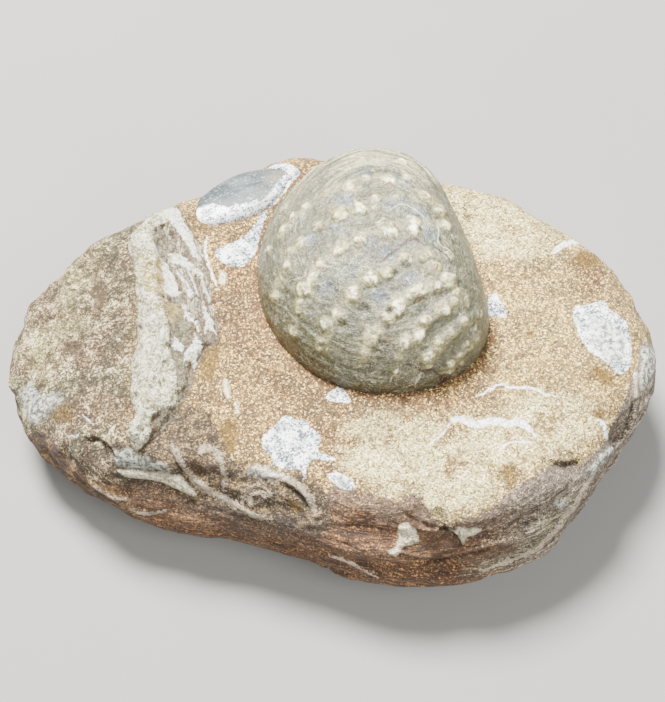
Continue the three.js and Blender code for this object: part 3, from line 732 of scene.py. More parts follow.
# %% Relief on the clam
WORN_KNOBS = [
    (5.7, 15.9, 2.1, 1.0), (1.6, 15.0, 2.3, 0.6), (-3.1, 12.8, 1.6, 0.3), (-10.8, 16.3, 1.6, 0.5),
    (-8.6, 18.7, 1.6, 0.5), (12.1, 9.6, 2.1, 1.0), (17.0, 10.2, 1.9, 1.0), (5.8, 7.7, 1.8, 0.9),
    (-9.7, 6.5, 1.5, 0.6), (-6.9, 9.8, 1.2, 0.5), (-6.0, -0.3, 2.2, 0.7), (-12.4, 1.8, 1.7, 0.6),
    (-9.4, 9.3, 1.3, 0.5), (-2.6, 3.7, 1.3, 0.5), (1.2, 5.9, 1.5, 0.6), (8.0, -0.8, 2.1, 0.9),
    (4.3, -3.6, 2.1, 0.7), (13.6, -6.5, 2.2, 1.0), (-7.1, -3.5, 1.3, 0.6), (0.7, -6.6, 1.5, 0.6),
    (-1.4, -7.8, 1.7, 0.9), (-8.4, -6.1, 1.7, 0.6), (-2.2, -10.8, 1.8, 0.5), (7.8, -11.8, 1.9, 0.6),
    (7.2, -13.5, 1.7, 0.6), (15.4, -12.1, 2.0, 0.9), (18.2, -11.0, 1.8, 0.8), (20.1, -13.7, 2.0, 0.8),
    (22.6, -11.2, 1.6, 0.6), (26.7, -11.6, 1.4, 0.6), (28.6, -9.5, 1.2, 0.5), (30.7, -7.8, 1.2, 0.5),
    (23.5, -6.2, 1.9, 0.9), (24.9, -13.6, 1.3, 0.8), (18.7, -3.0, 1.9, 0.6), (21.6, -2.3, 1.5, 0.7),
    (28.5, -3.5, 1.3, 0.6), (3.4, 22.9, 1.7, 0.7), (12.1, 24.8, 2.0, 0.8), (19.8, 20.3, 1.8, 0.8),
    (23.1, 16.6, 1.6, 0.8), (15.5, 32.6, 1.6, 0.7), (6.6, 33.1, 1.7, 0.4), (8.9, 16.3, 1.3, 0.7),
    (21.3, 1.5, 1.9, 0.4), (25.9, -2.4, 1.3, 0.6), (31.3, -4.5, 1.1, 0.6), (29.0, -6.8, 1.2, 0.6),
]
SHELL_CRACKS = [
    (0.34, [(9.7, 2.3), (13.3, 5.3), (16.6, 8), (19.1, 7.1)]), (0.2, [(21.2, 6.9), (25.2, 3.4)]),
    (0.12, [(14.8, -15.2), (16.4, -15.1), (19, -15.3), (21.2, -14.8), (23.6, -14.5), (25.5, -13.4)]),
    (0.12, [(8.4, 5.4), (9.5, 6.4), (8.6, 7.6)]), (0.12, [(0.3, -3.1), (1.2, -1.9), (1.0, -0.2)]),
]
SHELL_VEINS = [
    (0.16, [(21.8, 12.8), (22.6, 10.8), (22.3, 7.8), (24.2, 6.3), (25.4, 4.2)]),
    (0.1, [(12.1, -16.8), (13.9, -15.6)]), (0.1, [(17.4, -16.5), (19.2, -15.4)]),
    (0.09, [(-9.7, 2.9), (-5.8, 2.4), (-2.5, 3.4), (1.6, 1.9)]),
    (0.12, [(12, 15.5), (15, 17.5), (18, 15.5), (20.5, 12.5)]),
]
SHELL_PITS = [(6.5, -6.8, 2.0, 0.8), (12.9, 0.3, 1.2, 0.5), (12.0, -7.3, 1.4, 0.5), (1.6, -8.7, 1.8, 0.7),
              (-2.0, -11.0, 1.7, 0.6), (7.5, -15.2, 1.6, 0.5), (2.5, 9.0, 1.5, 0.35)]
# Tints on the clam, each spot as (x, y, radius).
CLAM_TINTS = {
    "blue": [(18.2, 13.9, 4.8), (13.2, 18.5, 4.2), (0.7, 11.6, 2.4), (9.9, -4.3, 3.2), (-4.8, 11.2, 3.2),
             (12.1, 4.9, 3.6), (7.9, 7.8, 2.8), (15.1, 25.5, 3.6), (-1.4, -1.4, 3.4), (16, -1, 3),
             (21, 9.5, 3), (2.4, 19, 4.2), (7, 28, 3.6)],
    "cream": [(3.8, 22.9, 3.6), (19.3, 20.9, 3.6), (22, 20, 3), (19.6, 4, 3.4), (-11.3, 4.2, 3),
              (-11, 16.1, 3), (7.8, -10.3, 2.6), (6.2, -14.9, 1.9), (13.7, -14.1, 1.9), (1.2, 14.6, 2.6),
              (-3.5, 3.2, 2.6), (12.5, 25.3, 2.8), (24.5, -1.3, 2.6), (26.4, -4.8, 2.6), (4, -4, 2.6),
              (10, 33, 4)],
    "olive": [(0.7, -8.4, 2.8), (-1.8, -9.8, 2.6), (-7.8, -7.5, 3), (3.7, -11.3, 3), (9.9, -13.4, 3.4),
              (20.4, -11.3, 2.2), (25.5, -9.3, 2.2), (28.5, -10.7, 3.4), (2.8, -8, 2.2), (17, -10.1, 2),
              (-10, -3, 2.5)],
    "rust": [(12.5, 22.9, 1.9), (17.9, 1.3, 1.5), (21.3, 1.5, 1.4), (18.3, -4.9, 1.5), (3.7, 8.1, 1.2),
             (-1.6, 12.4, 1.2), (18.3, -9, 1.2), (11.6, -11.9, 1.2)],
    "dark": [(6.8, -6.5, 1.5), (13.1, 0.3, 1.1), (7.6, -15.2, 1.3), (4.1, 2.6, 0.8), (9.6, 5.9, 0.8),
             (-6.9, -4.6, 0.9), (29.4, -7.3, 0.7), (-1.8, -4.6, 0.8), (-6.9, 9.6, 0.8), (11.6, -7, 1.2),
             (8.2, -9.3, 1), (14.5, -7.5, 1)],
}
CLAM_RINGS = 132
RIB_HALF_WIDTH, RIB_REACH, GROWTH_SPAN = 1.9, 9.0, 26


def hits(points, centre, radius):
    """Index of the points within radius of a centre, and their distance from it."""
    distance = np.linalg.norm(points - centre, axis=1)
    index = np.flatnonzero(distance < radius)
    return index, distance[index]


def on_dome(x, y):
    return np.array([x, y, shell_height(np.array([x]), np.array([y]))[0]])


def beakness(x, y):
    """1 at the beak and 0 away from it."""
    return fade(8, 26, x) * fade(6, -6, y)


def raise_knobs(points):
    """Height of all knobs over the dome, and how white and how haloed their tops are."""
    rough = 1 + 0.14 * even_lumps(*points.T, 1.4, 31)
    height, white, halo = (np.zeros(len(points)) for _ in range(3))
    for kx, ky, radius, whiteness in WORN_KNOBS:
        index, distance = hits(points, on_dome(kx, ky), 2 * radius)
        shape = clamp01(1 - (distance * rough[index] / (1.05 * radius)) ** 2) ** 1.1
        height[index] = np.maximum(height[index], 0.42 * radius * shape)
        white[index] = np.maximum(white[index], whiteness * shape)
        halo[index] = np.maximum(halo[index], hump(distance, 2 * radius))
    taken = np.array([knob[:2] for knob in WORN_KNOBS])
    for kx, ky, radius in knobs:
        lone = fade(1.0, 3.2, np.min(np.hypot(*(taken - (kx, ky)).T)))
        index, distance = hits(points, on_dome(kx, ky), 2 * radius)
        shape = clamp01(1 - (distance * rough[index] / (1.1 * radius)) ** 2) ** 1.3
        faint = 1 - 0.5 * fade(16, 26, ky)
        rise = 0.19 + 0.22 * lone + 0.26 * beakness(kx, ky)
        height[index] = np.maximum(height[index], rise * radius * faint * shape)
        white[index] = np.maximum(white[index], 0.22 * faint * shape)
    return height, white, halo


def tint(points, spots):
    """1 in the middle of each spot, and fading to 0 at its radius."""
    total = np.zeros(len(points))
    for x, y, radius in spots:
        index, distance = hits(points, on_dome(x, y), radius)
        total[index] = np.maximum(total[index], hump(distance, radius))
    return total


def sculpt_clam():
    points, faces = ring_solid(CLAM_RINGS, 0.0)
    x, y, z = points.T
    share, angle = shell_polar(x, y)
    is_dome = np.arange(len(points)) < 1 + 3 * CLAM_RINGS * (CLAM_RINGS + 1)
    height, white, halo = raise_knobs(points)
    beak = beakness(x, y)
    rib_lines = [[on_dome(*p) for p in rib] for rib in ribs]
    near_rib = np.min([path_distance(points, line, RIB_REACH) for line in rib_lines], axis=0)
    rib_shape = hump(near_rib, RIB_HALF_WIDTH)
    relief = np.maximum(height, (0.13 + 0.24 * beak) * rib_shape)
    relief -= (0.1 + 0.26 * beak) * fade(1.0, 2.2, near_rib) * fade(1, 0.97, share)
    margin = fade(0.72, 0.95, share) * fade(0.6, 1.6, np.abs(angle))
    upper = fade(20, 30, y)
    growth = GROWTH_SPAN * np.arcsin(np.minimum(share, 1)) + 0.9 * even_lumps(x, y, z, 8, 32)
    bands = lumps(growth / 1.1, angle * 2.2, 0 * x, 33)
    patchy = 0.6 + 0.4 * even_lumps(x, y, z, 6, 36)
    relief += (0.08 + 0.14 * margin + 0.26 * upper) * bands * patchy
    relief += 0.14 * even_lumps(x, y, z, 2.2, 34) + 0.08 * even_lumps(x, y, z, 0.9, 35)
    # The recess mask marks where the finish paints shade: lightly between the rows, and deeply in the pits.
    recess_shade = 0.25 * fade(1.0, 2.3, near_rib)
    for px, py, radius, depth in SHELL_PITS:
        index, distance = hits(points, on_dome(px, py), radius)
        relief[index] -= depth * hump(distance, radius)
        recess_shade[index] += 1.2 * hump(distance, radius)
    lines = all_line_layers(points[:, :2], crack=SHELL_CRACKS, vein=SHELL_VEINS)
    relief -= 0.12 * on_line(lines, "crack", 0.45)
    lift = relief * fade(1.0, 0.996, share) * is_dome
    layers = {
        "knob": clamp01(height / 0.75), "halo": halo, "white": white, "rib": rib_shape, "share": share,
        "growth": growth, "along": angle * 8, "recess_shade": clamp01(recess_shade), "upper": upper, "margin": margin,
        # keel: the steep right side, which the finish darkens with painted shade.
        "keel": fade(0.80, 0.90, share) * fade(0.85, 0.45, np.abs(angle + 0.1)),
        **lines, **{name: tint(points, spots) for name, spots in CLAM_TINTS.items()},
    }
    return points + point_normals(points, faces) * lift[:, None], faces, layers


clam_points, clam_faces, clam_layers = sculpt_clam()
print("clam:", len(clam_faces), "triangles, top at", round(clam_points[:, 2].max(), 2), "mm")

# %% [markdown]
# ## The form of the ridge
# The ridge is a thick, broken shell edge that lies along the left of the stone. Its crest runs down its left
# side and ends there in a small cliff. To its right is a stained trough, and then thin leaves of shell that
# come together in a point. It is made as a grid stretched between its two edges.

# %% Rules for the ridge
RIDGE_LEFT = [(-41.5, -30), (-43.2, -26.5), (-42.2, -21.5), (-43.5, -15), (-42.7, -7.5), (-42.8, 0),
              (-43.8, 8), (-44.3, 15), (-46, 22.5), (-40.5, 30)]
RIDGE_RIGHT = [(-38.5, -28.5), (-35.5, -25.5), (-32.3, -21.5), (-30.8, -14.5), (-28.2, -8), (-25.2, -3),
               (-27, 6), (-28, 14), (-30.5, 22), (-36, 31.5)]
RIDGE_LEVEL, RIDGE_BOTTOM = 34.6, 30


def ridge_back(u, v, x, y):
    """Height of the ridge: u runs across it and v along it, each from 0 to 1."""
    ends = fade(0, 0.12, v) * fade(1, 0.93, v)
    crest, flank = 3 * hump(u - 0.26, 0.42), 1.2 * hump(u - 0.78, 0.26)
    level = RIDGE_LEVEL + 1.2 * fade(0.2, 0.9, v)
    return level + (crest + flank) * (0.55 + 0.45 * ends) + 0.7 * lumps(x / 5, y / 7, 0 * x, 7)


def edge_at(points, share):
    """Points at equal steps of the curve's own parameter, as the solid model takes them."""
    path = curve_through(points, False, 40)
    at = share * (len(path) - 1)
    return np.stack([np.interp(at, np.arange(len(path)), path[:, axis]) for axis in (0, 1)], 1)


def ridge_solid(across, along, grow):
    """Points and triangles of the ridge, and how far across and along it each point of its back lies."""
    v, u = np.meshgrid(np.arange(along + 1) / along, np.arange(across + 1) / across, indexing="ij")
    u, v = u.ravel(), v.ravel()
    left, right = edge_at(RIDGE_LEFT, v), edge_at(RIDGE_RIGHT, v)
    ragged_left = 0.5 * lumps(v * 24, 0 * v, 0 * v, 41) + 0.25 * lumps(v * 75, 0 * v, 0 * v, 42)
    ragged_right = 0.7 * lumps(v * 21, 0 * v, 0 * v, 43) + 0.3 * lumps(v * 65, 0 * v, 0 * v, 44)
    left[:, 0] += ragged_left
    right[:, 0] += ragged_right
    stretch = 1 + 2 * grow / np.linalg.norm(right - left, axis=1)
    plan = left + (right - left) * (0.5 + (u - 0.5) * stretch)[:, None]
    plan[:, 1] += grow * (2 * v - 1)
    x, y = plan.T
    rim = upper_face(x, y) + 0.3
    slope = 9 - 6 * fade(0.45, 0.2, v)
    inward = clamp01(np.minimum(9 * u, slope * (1 - u))) * clamp01(np.minimum(v, 1 - v) * 22)
    z = rim + grow + (ridge_back(u, v, x, y) - rim) * np.sqrt(inward)
    columns = across + 1
    i, j = (k.ravel() for k in np.meshgrid(np.arange(across), np.arange(along)))
    a = j * columns + i
    b, c, d = a + 1, a + columns + 1, a + columns
    flip = (i + j) % 2 == 0
    first = np.where(flip[:, None], np.stack([a, b, c], 1), np.stack([a, b, d], 1))
    second = np.where(flip[:, None], np.stack([a, c, d], 1), np.stack([b, c, d], 1))
    border = np.concatenate([np.arange(across), np.arange(along) * columns + across,
                             along * columns + np.arange(across, 0, -1), np.arange(along, 0, -1) * columns])
    points, faces = close_below(np.stack([x, y, z], 1), np.concatenate([first, second]), border,
                                RIDGE_BOTTOM - grow)
    return points, faces, u, v


# %% Relief on the ridge
# Hollows in the ridge, each as (x, y, radius across, radius along) with its depth.
RIDGE_PITS = [((-34.9, 4.8, 1.4, 0.9), 0.6), ((-38.2, 20.2, 2.4, 3.2), 0.7), ((-36.6, -23.4, 1.8, 1.8), 0.5),
              ((-33.2, -6.5, 2.4, 6.5), 1.0), ((-40.6, 24.6, 0.9, 0.9), 0.5), ((-36.8, 23.5, 1.0, 1.2), 0.6),
              ((-35.6, 16.5, 1.2, 2.4), 0.6), ((-39.8, 7.5, 1.4, 1.2), 0.4), ((-41.0, -17, 1.4, 1.8), 0.5)]
# What shows on the ridge, drawn on the leaning board: its rough white crest, the thin leaves of shell on its
# right flank with the fine lines and the crack between them, its stains, and painted shade in its hollows.
RIDGE_CREST = [
    [(-49, 39), (-46, 42), (-41.5, 45.5), (-38.4, 45.6), (-37.4, 42.8), (-39.6, 41), (-40.5, 39),
     (-39.5, 35.5), (-38.9, 28.5), (-37.8, 24.9), (-36.7, 21.8), (-35.6, 18.4), (-35.2, 15.2), (-34.7, 11.9),
     (-33.6, 8.5), (-32.7, 5.7), (-32.6, 2.7), (-33.6, 0.9), (-36.5, 0.4), (-37.9, -1), (-38.3, -2.7),
     (-38.6, -5.1), (-41, -8.5), (-46, -8.5), (-47, 1.8), (-48, 20)],
]
RIDGE_LEAVES = [
    [(-39, 45.6), (-35.8, 46), (-33.6, 42.4), (-31.4, 38.5), (-29.6, 34.5), (-28.6, 31.5), (-30.2, 32.8),
     (-32.3, 35.2), (-34.1, 38), (-35.9, 40.5), (-37.4, 42)],
    [(-38.2, 32.2), (-37, 32.8), (-35.8, 30.7), (-34.6, 28.2), (-33.6, 25.7), (-34.2, 24.5), (-35.7, 24.8),
     (-37.3, 26.7)],
    [(-32.5, 26.6), (-31.6, 27.2), (-30.4, 26.1), (-30.6, 24.7), (-31.7, 24.3), (-32.4, 25.2)],
    [(-33, 23.2), (-32.1, 23), (-31.4, 21.4), (-31.1, 19.8), (-32, 20.1), (-32.9, 21.6)],
    [(-37.2, 34.7), (-35.1, 35), (-32.7, 33.7), (-30.4, 31.9), (-28.6, 30.3), (-28.9, 29.1), (-30.9, 30),
     (-33.3, 31.4), (-35.3, 32.6), (-36.9, 33.2)],
    [(-28.6, 24.1), (-27.8, 23.2), (-27, 21.4), (-26.1, 19.6), (-25.4, 17.5), (-24.9, 15.6), (-26.2, 16.5),
     (-27.2, 17.4), (-27.6, 16.3), (-28.3, 16.7), (-28.2, 19.2), (-28.7, 21.4)],
    [(-33.5, 23.4), (-32.3, 22.7), (-31.4, 20.9), (-30, 20), (-29, 17.8), (-28.7, 16.3), (-29.6, 16.7),
     (-30.6, 18.5), (-31.8, 19.4), (-32.9, 21.2)],
    [(-30.5, 17.4), (-29.4, 16.5), (-28.2, 14.5), (-28.1, 13), (-29, 11.5), (-29.1, 10.2), (-28.2, 7.4),
     (-29.7, 8.7), (-31, 10.2), (-32, 10.8), (-32.3, 12.5), (-31.3, 13.9), (-30.6, 15.2)],
    [(-34.9, 15.6), (-33.9, 16), (-32.8, 15), (-32.2, 13.6), (-33.3, 13), (-34.4, 13.8)],
]
RIDGE_LINES = [
    (0.3, [(-29.2, 29.6), (-28.2, 26.8), (-27.2, 24.1), (-26, 21.7)]),
    (0.25, [(-32.8, 31.4), (-31.5, 29.3), (-30.5, 27.2), (-29.5, 24.7)]),
    (0.25, [(-35, 30.9), (-33.1, 28.7), (-31.6, 26.8)]),
]
RIDGE_CRACK = [(0.2, [(-37.3, 24.9), (-36.7, 24.7), (-35.4, 24.3), (-33.7, 24.1)])]
RIDGE_STAINS_AND_SHADE = {
    "hollow_shade": [[(-40.3, 39.2), (-38.7, 40.3), (-36.9, 38.5), (-36.1, 35.7), (-36.7, 33.7), (-38.5, 32.7),
                (-39.5, 35.5)], [(-36.1, 41.4), (-34.7, 40.9), (-34, 39), (-35.1, 38.5)],
               [(-34.6, 37.6), (-32.6, 36.3), (-31.1, 34.2), (-32.5, 33.7), (-34, 35.7)],
               [(-37.3, 0.7), (-35.8, 1.5), (-34.4, 0.6), (-35.2, -1), (-36.9, -1.4)]],
    "ochre": [[(-38.6, 24.5), (-35.4, 24.1), (-33.7, 23.2), (-32.9, 20.9), (-33.9, 19.6), (-35.5, 19.1),
               (-36.9, 21.3)], [(-39.4, 33), (-37.8, 32.5), (-37.2, 28), (-37.6, 25), (-39.4, 26)]],
    "trough": [[(-35.5, 19.1), (-33.5, 20), (-31.9, 18.5), (-31.3, 16.1), (-32.7, 14.7), (-34.1, 16),
                (-35.1, 16.9)],
               [(-34.7, 13), (-33, 12.1), (-31.2, 10), (-31.3, 6.9), (-32, 4), (-32.5, 1.4), (-33.3, 3.1),
                (-33.3, 6.5), (-34.1, 9.5)]],
    "yellow": [[(-43, 35.5), (-40.3, 34.5), (-39.2, 31.3), (-39, 27.4), (-40.7, 24.9), (-42.3, 27.2),
                (-43.4, 31.5)]],
}
RIDGE_GRID = (110, 400)


def spots_at(x, y, spots):
    total = np.zeros(len(x))
    for (cx, cy, across, along), amount in spots:
        total = np.maximum(total, amount * hump(np.hypot((x - cx) / across, (y - cy) / along), 1.0))
    return total


def sculpt_ridge():
    points, faces, u, v = ridge_solid(*RIDGE_GRID, 0.0)
    extra = len(points) - len(u)
    u, v = (np.concatenate([t, np.zeros(extra)]) for t in (u, v))
    top = np.arange(len(points)) < len(points) - extra
    normals = point_normals(points, faces)
    x, y, z = points.T
    flat = board(points)
    crest_edge, leaf_edge = patch_distance(flat, RIDGE_CREST), patch_distance(flat, RIDGE_LEAVES)
    lines = all_line_layers(flat, line=RIDGE_LINES, crack=RIDGE_CRACK)
    on_crest = fade(1.0, -1.0, crest_edge)
    on_leaf = np.maximum(fade(0.3, -0.4, leaf_edge), on_line(lines, "line", 0.5))
    rough = 0.6 * lumps(x / 3.2, y / 4.0, z / 4, 54) + 0.55 * even_lumps(x, y, z, 1.6, 47)
    relief = on_crest * (0.25 + rough)
    relief += (0.34 * on_crest + 0.12) * even_lumps(x, y, z, 0.8, 48)
    relief += (1 - on_crest) * (0.35 * on_leaf - 0.35 + 0.3 * lumps(x / 1.8, y / 2.2, z, 55))
    relief += 0.08 * even_lumps(x, y, z, 0.6, 50)
    relief -= spots_at(x, y, RIDGE_PITS) + 0.4 * on_line(lines, "crack", 0.5)
    inner = clamp01(np.minimum(u, 1 - u) * 30) * clamp01(np.minimum(v, 1 - v) * 60)
    moved = points + normals * (relief * inner * top)[:, None]
    moved[:, 2] -= 0.3 * fade(0.7, 1.0, u) * (1 - on_leaf) * top
    layers = {
        "crest": crest_edge, "leaf": leaf_edge, "along": v, **lines,
        **{name: fade(0.9, -0.9, patch_distance(flat, outlines)) for name, outlines in RIDGE_STAINS_AND_SHADE.items()},
    }
    return moved, faces, layers


ridge_points, ridge_faces, ridge_layers = sculpt_ridge()
print("ridge:", len(ridge_faces), "triangles")

# %% [markdown]
# ## The rear shell
# Only the worn outside of this shell shows, let into the back edge. It is the part that two flattened balls
# have in common, so it is wrapped in the same way as the stone.

# %% Rule for the rear shell
REAR_LENS, REAR_LENS_AT = (12.8, 6.6, 7), (-20.6, 34.8, 34.5)
REAR_DOME, REAR_DOME_AT = (24, 17, 12), (-17, 32, 27.2)
REAR_TIP, REAR_TURN = 0.2, 0.5


def ball_field(p, size, centre, tip, grow):
    """About the distance outside a flattened ball turned in plan and tipped."""
    x, y, z = (p - centre).T
    turn_cos, turn_sin = math.cos(REAR_TURN), math.sin(REAR_TURN)
    x, y = x * turn_cos + y * turn_sin, y * turn_cos - x * turn_sin
    y, z = y * math.cos(tip) - z * math.sin(tip), y * math.sin(tip) + z * math.cos(tip)
    a, b, c = (s + grow for s in size)
    near = np.sqrt((x / a) ** 2 + (y / b) ** 2 + (z / c) ** 2)
    slope = np.sqrt((x / a**2) ** 2 + (y / b**2) ** 2 + (z / c**2) ** 2) / np.maximum(near, 1e-6)
    return (near - 1) / np.maximum(slope, 1e-6)


def rear_field(grow, relief):
    def field(p):
        both = smooth_max(ball_field(p, REAR_LENS, REAR_LENS_AT, REAR_TIP, grow),
                          ball_field(p, REAR_DOME, REAR_DOME_AT, 0, grow), 0.5)
        x, y, z = p.T
        turned = y * math.cos(REAR_TURN) - x * math.sin(REAR_TURN)
        lines = lumps(turned / 0.9, x / 14, z / 14, 51)
        return both - relief * (0.07 * lines + 0.12 * even_lumps(x, y, z, 3, 52) + 0.03 * lumps(x, y, z, 53))
    return field


REAR_MIDDLE, REAR_REACH, REAR_SPLITS = (-20.6, 34.8, 34), (12.8, 7, 6), 48
rear_points, rear_faces = wrap(rear_field(0.0, 1.0), REAR_MIDDLE, REAR_REACH, REAR_SPLITS)
print("rear shell:", len(rear_faces), "triangles, top at", round(rear_points[:, 2].max(), 2), "mm")

# %% [markdown]
# ## Sockets in the stone
# The three shells sit in the stone, so the stone has a socket for each. The sockets are cut with the very
# outlines of the shells, enlarged by less than the thickness of paper, so that no gap shows.

# %% Wrap the stone and cut the sockets
STONE_MIDDLE, STONE_REACH, STONE_SPLITS = (4, -9, 20), (75, 53, 20), 96
SOCKET_GAP = 0.04
SOCKET_RINGS, SOCKET_GRID, SOCKET_SPLITS = 44, (40, 200), 24
stone_points, stone_faces = wrap(stone_field, STONE_MIDDLE, STONE_REACH, STONE_SPLITS)
print("stone skin:", len(stone_faces), "triangles")


def plain_object(name, points, faces):
    mesh = bpy.data.meshes.new(name)
    mesh.from_pydata((points * MM).tolist(), [], faces.tolist())
    made = bpy.data.objects.new(name, mesh)
    scene.collection.objects.link(made)
    return made


def cut(points, faces, cutters):
    """The points and triangles that are left of a closed mesh when others are taken out of it."""
    block = plain_object("block", points, faces)
    for number, cutter in enumerate(cutters):
        tool = plain_object("socket" + str(number), *cutter)
        tool.hide_render = True
        step = block.modifiers.new(tool.name, "BOOLEAN")
        step.operation, step.solver, step.object = "DIFFERENCE", "MANIFOLD", tool
    shaped = block.evaluated_get(bpy.context.evaluated_depsgraph_get())
    mesh = bpy.data.meshes.new_from_object(shaped)
    mesh.calc_loop_triangles()
    out_points = np.empty(len(mesh.vertices) * 3, np.float32)
    mesh.vertices.foreach_get("co", out_points)
    out_faces = np.empty(len(mesh.loop_triangles) * 3, np.int32)
    mesh.loop_triangles.foreach_get("vertices", out_faces)
    for obj in [block] + [step.object for step in block.modifiers]:
        bpy.data.objects.remove(obj)
    return out_points.reshape(-1, 3).astype(float) / MM, out_faces.reshape(-1, 3)


sockets = [
    ring_solid(SOCKET_RINGS, SOCKET_GAP), ridge_solid(*SOCKET_GRID, SOCKET_GAP)[:2],
    wrap(rear_field(SOCKET_GAP, 0.0), REAR_MIDDLE, REAR_REACH, SOCKET_SPLITS),
]
stone_points, stone_faces = cut(stone_points, stone_faces, sockets)
print("stone with its sockets:", len(stone_faces), "triangles")

# %% Masks on the stone
CRISP_MARKS = {"patch": WHITE_PATCHES, "cream": CREAM_SHELL, "grey": GREY_SHELL}
OUT_OF_SIGHT = 8
# Each soft mark with half the width of its border.
SOFT_MARKS = {"amber": (AMBER, 0.45), "brown": (BROWN, 0.5), "rusty": (RUSTY, 0.6), "rubble": (RUBBLE, 1.6),
              "pale_wall": (PALE_WALL, 1.5), "pale": (PALE_GROUND, 3.0), "warm": (WARM_GROUND, 3.0)}


def stone_masks(points, faces):
    """All layers of the stone. A mark counts only where its side of the stone faces the drawing board."""
    normals = point_normals(points, faces)
    x, y, z = points.T
    flat = board(points)
    seen = fade(-0.02, 0.12, normals @ backwards)
    hidden = OUT_OF_SIGHT * (1 - seen)
    layers = all_line_layers(flat, line=WHITE_LINES, crack=CREVICES)
    layers["line_width"] -= hidden
    layers["crack_width"] -= hidden
    for name, outlines in CRISP_MARKS.items():
        layers[name] = patch_distance(flat, outlines) + hidden
    for name, (outlines, width) in SOFT_MARKS.items():
        layers[name] = fade(width, -width, patch_distance(flat, outlines)) * seen
    share, shell_angle = shell_polar(x, y)
    layers["shell_gap"] = (share - 1) * shell_radius(shell_angle)
    there, back = np.linspace(0, 1, 60), np.linspace(1, 0, 60)
    ring = np.concatenate([edge_at(RIDGE_LEFT, there), edge_at(RIDGE_RIGHT, back)])
    layers["ridge_gap"] = patch_distance(points[:, :2], [ring[::3]], 6.0)
    edge = np.array(WALL_EDGE)
    layers["below_edge"] = np.clip(np.interp(flat[:, 0], edge[:, 0], edge[:, 1]) - flat[:, 1], -6, 12)
    # The pit layer marks the pits, which the finish fills with painted shade.
    pit_shade = np.zeros(len(points))
    for centre, reach, depth in PITS + FINE_PITS:
        pit_shade = np.maximum(pit_shade, round_hump(x, y, z, centre, reach * 0.9) * min(depth, 1))
    # The under layer marks the faces that look down, which the finish darkens with painted shade.
    return {**layers, "pit_shade": pit_shade, "left_end": fade(-40, -47, x), "right_end": fade(24, 44, x),
            "steep": fade(0.82, 0.45, normals[:, 2]), "under": fade(0.2, -0.5, normals[:, 2])}


def carve(points, faces, layers):
    """Makes ledges of the shell edges in the broken front, and sinks the crevices below a small lip."""
    line_side = layers["line_side"]
    ledge = np.where(line_side > 0, fade(1.3, 0.1, line_side), fade(-0.6, -0.1, line_side))
    ledge *= fade(-0.5, 0.1, layers["line_width"])
    beside = fade(-0.5, 0.1, layers["crack_width"])
    in_crack = fade(0.9, 0.1, np.abs(layers["crack_side"])) * beside
    lip = hump(layers["crack_side"] - 1.2, 1.1) * beside
    wall = np.maximum(fade(-0.5, 1.5, layers["below_edge"]), layers["rubble"])
    raised = (0.3 * wall + 0.05) * ledge + 0.1 * fade(0.2, -0.4, layers["patch"])
    raised += 0.7 * fade(0.3, -0.8, layers["cream"]) + 0.3 * fade(0.3, -0.8, layers["grey"])
    return points + point_normals(points, faces) * (raised + 0.4 * lip - 0.6 * in_crack)[:, None]


stone_layers = stone_masks(stone_points, stone_faces)
stone_points = carve(stone_points, stone_faces, stone_layers)
print("masks on the stone:", ", ".join(stone_layers))

# %% [markdown]
# ## Short ways to write materials
# A material is a tree of small nodes. Short helpers keep the trees readable: each adds a node or two, and
# hands back the output that the next one needs. Most of a finish is coats of colour, each laid over the one
# before by a mask. Patterns that several materials share are node groups with named inputs and outputs, each
# built once.

# %% Node helpers
def colour(code):
    """A hex colour as Blender wants it, in linear light."""
    parts = [int(code[i:i + 2], 16) / 255 for i in (0, 2, 4)]
    return tuple(p / 12.92 if p < 0.04045 else ((p + 0.055) / 1.055) ** 2.4 for p in parts) + (1.0,)


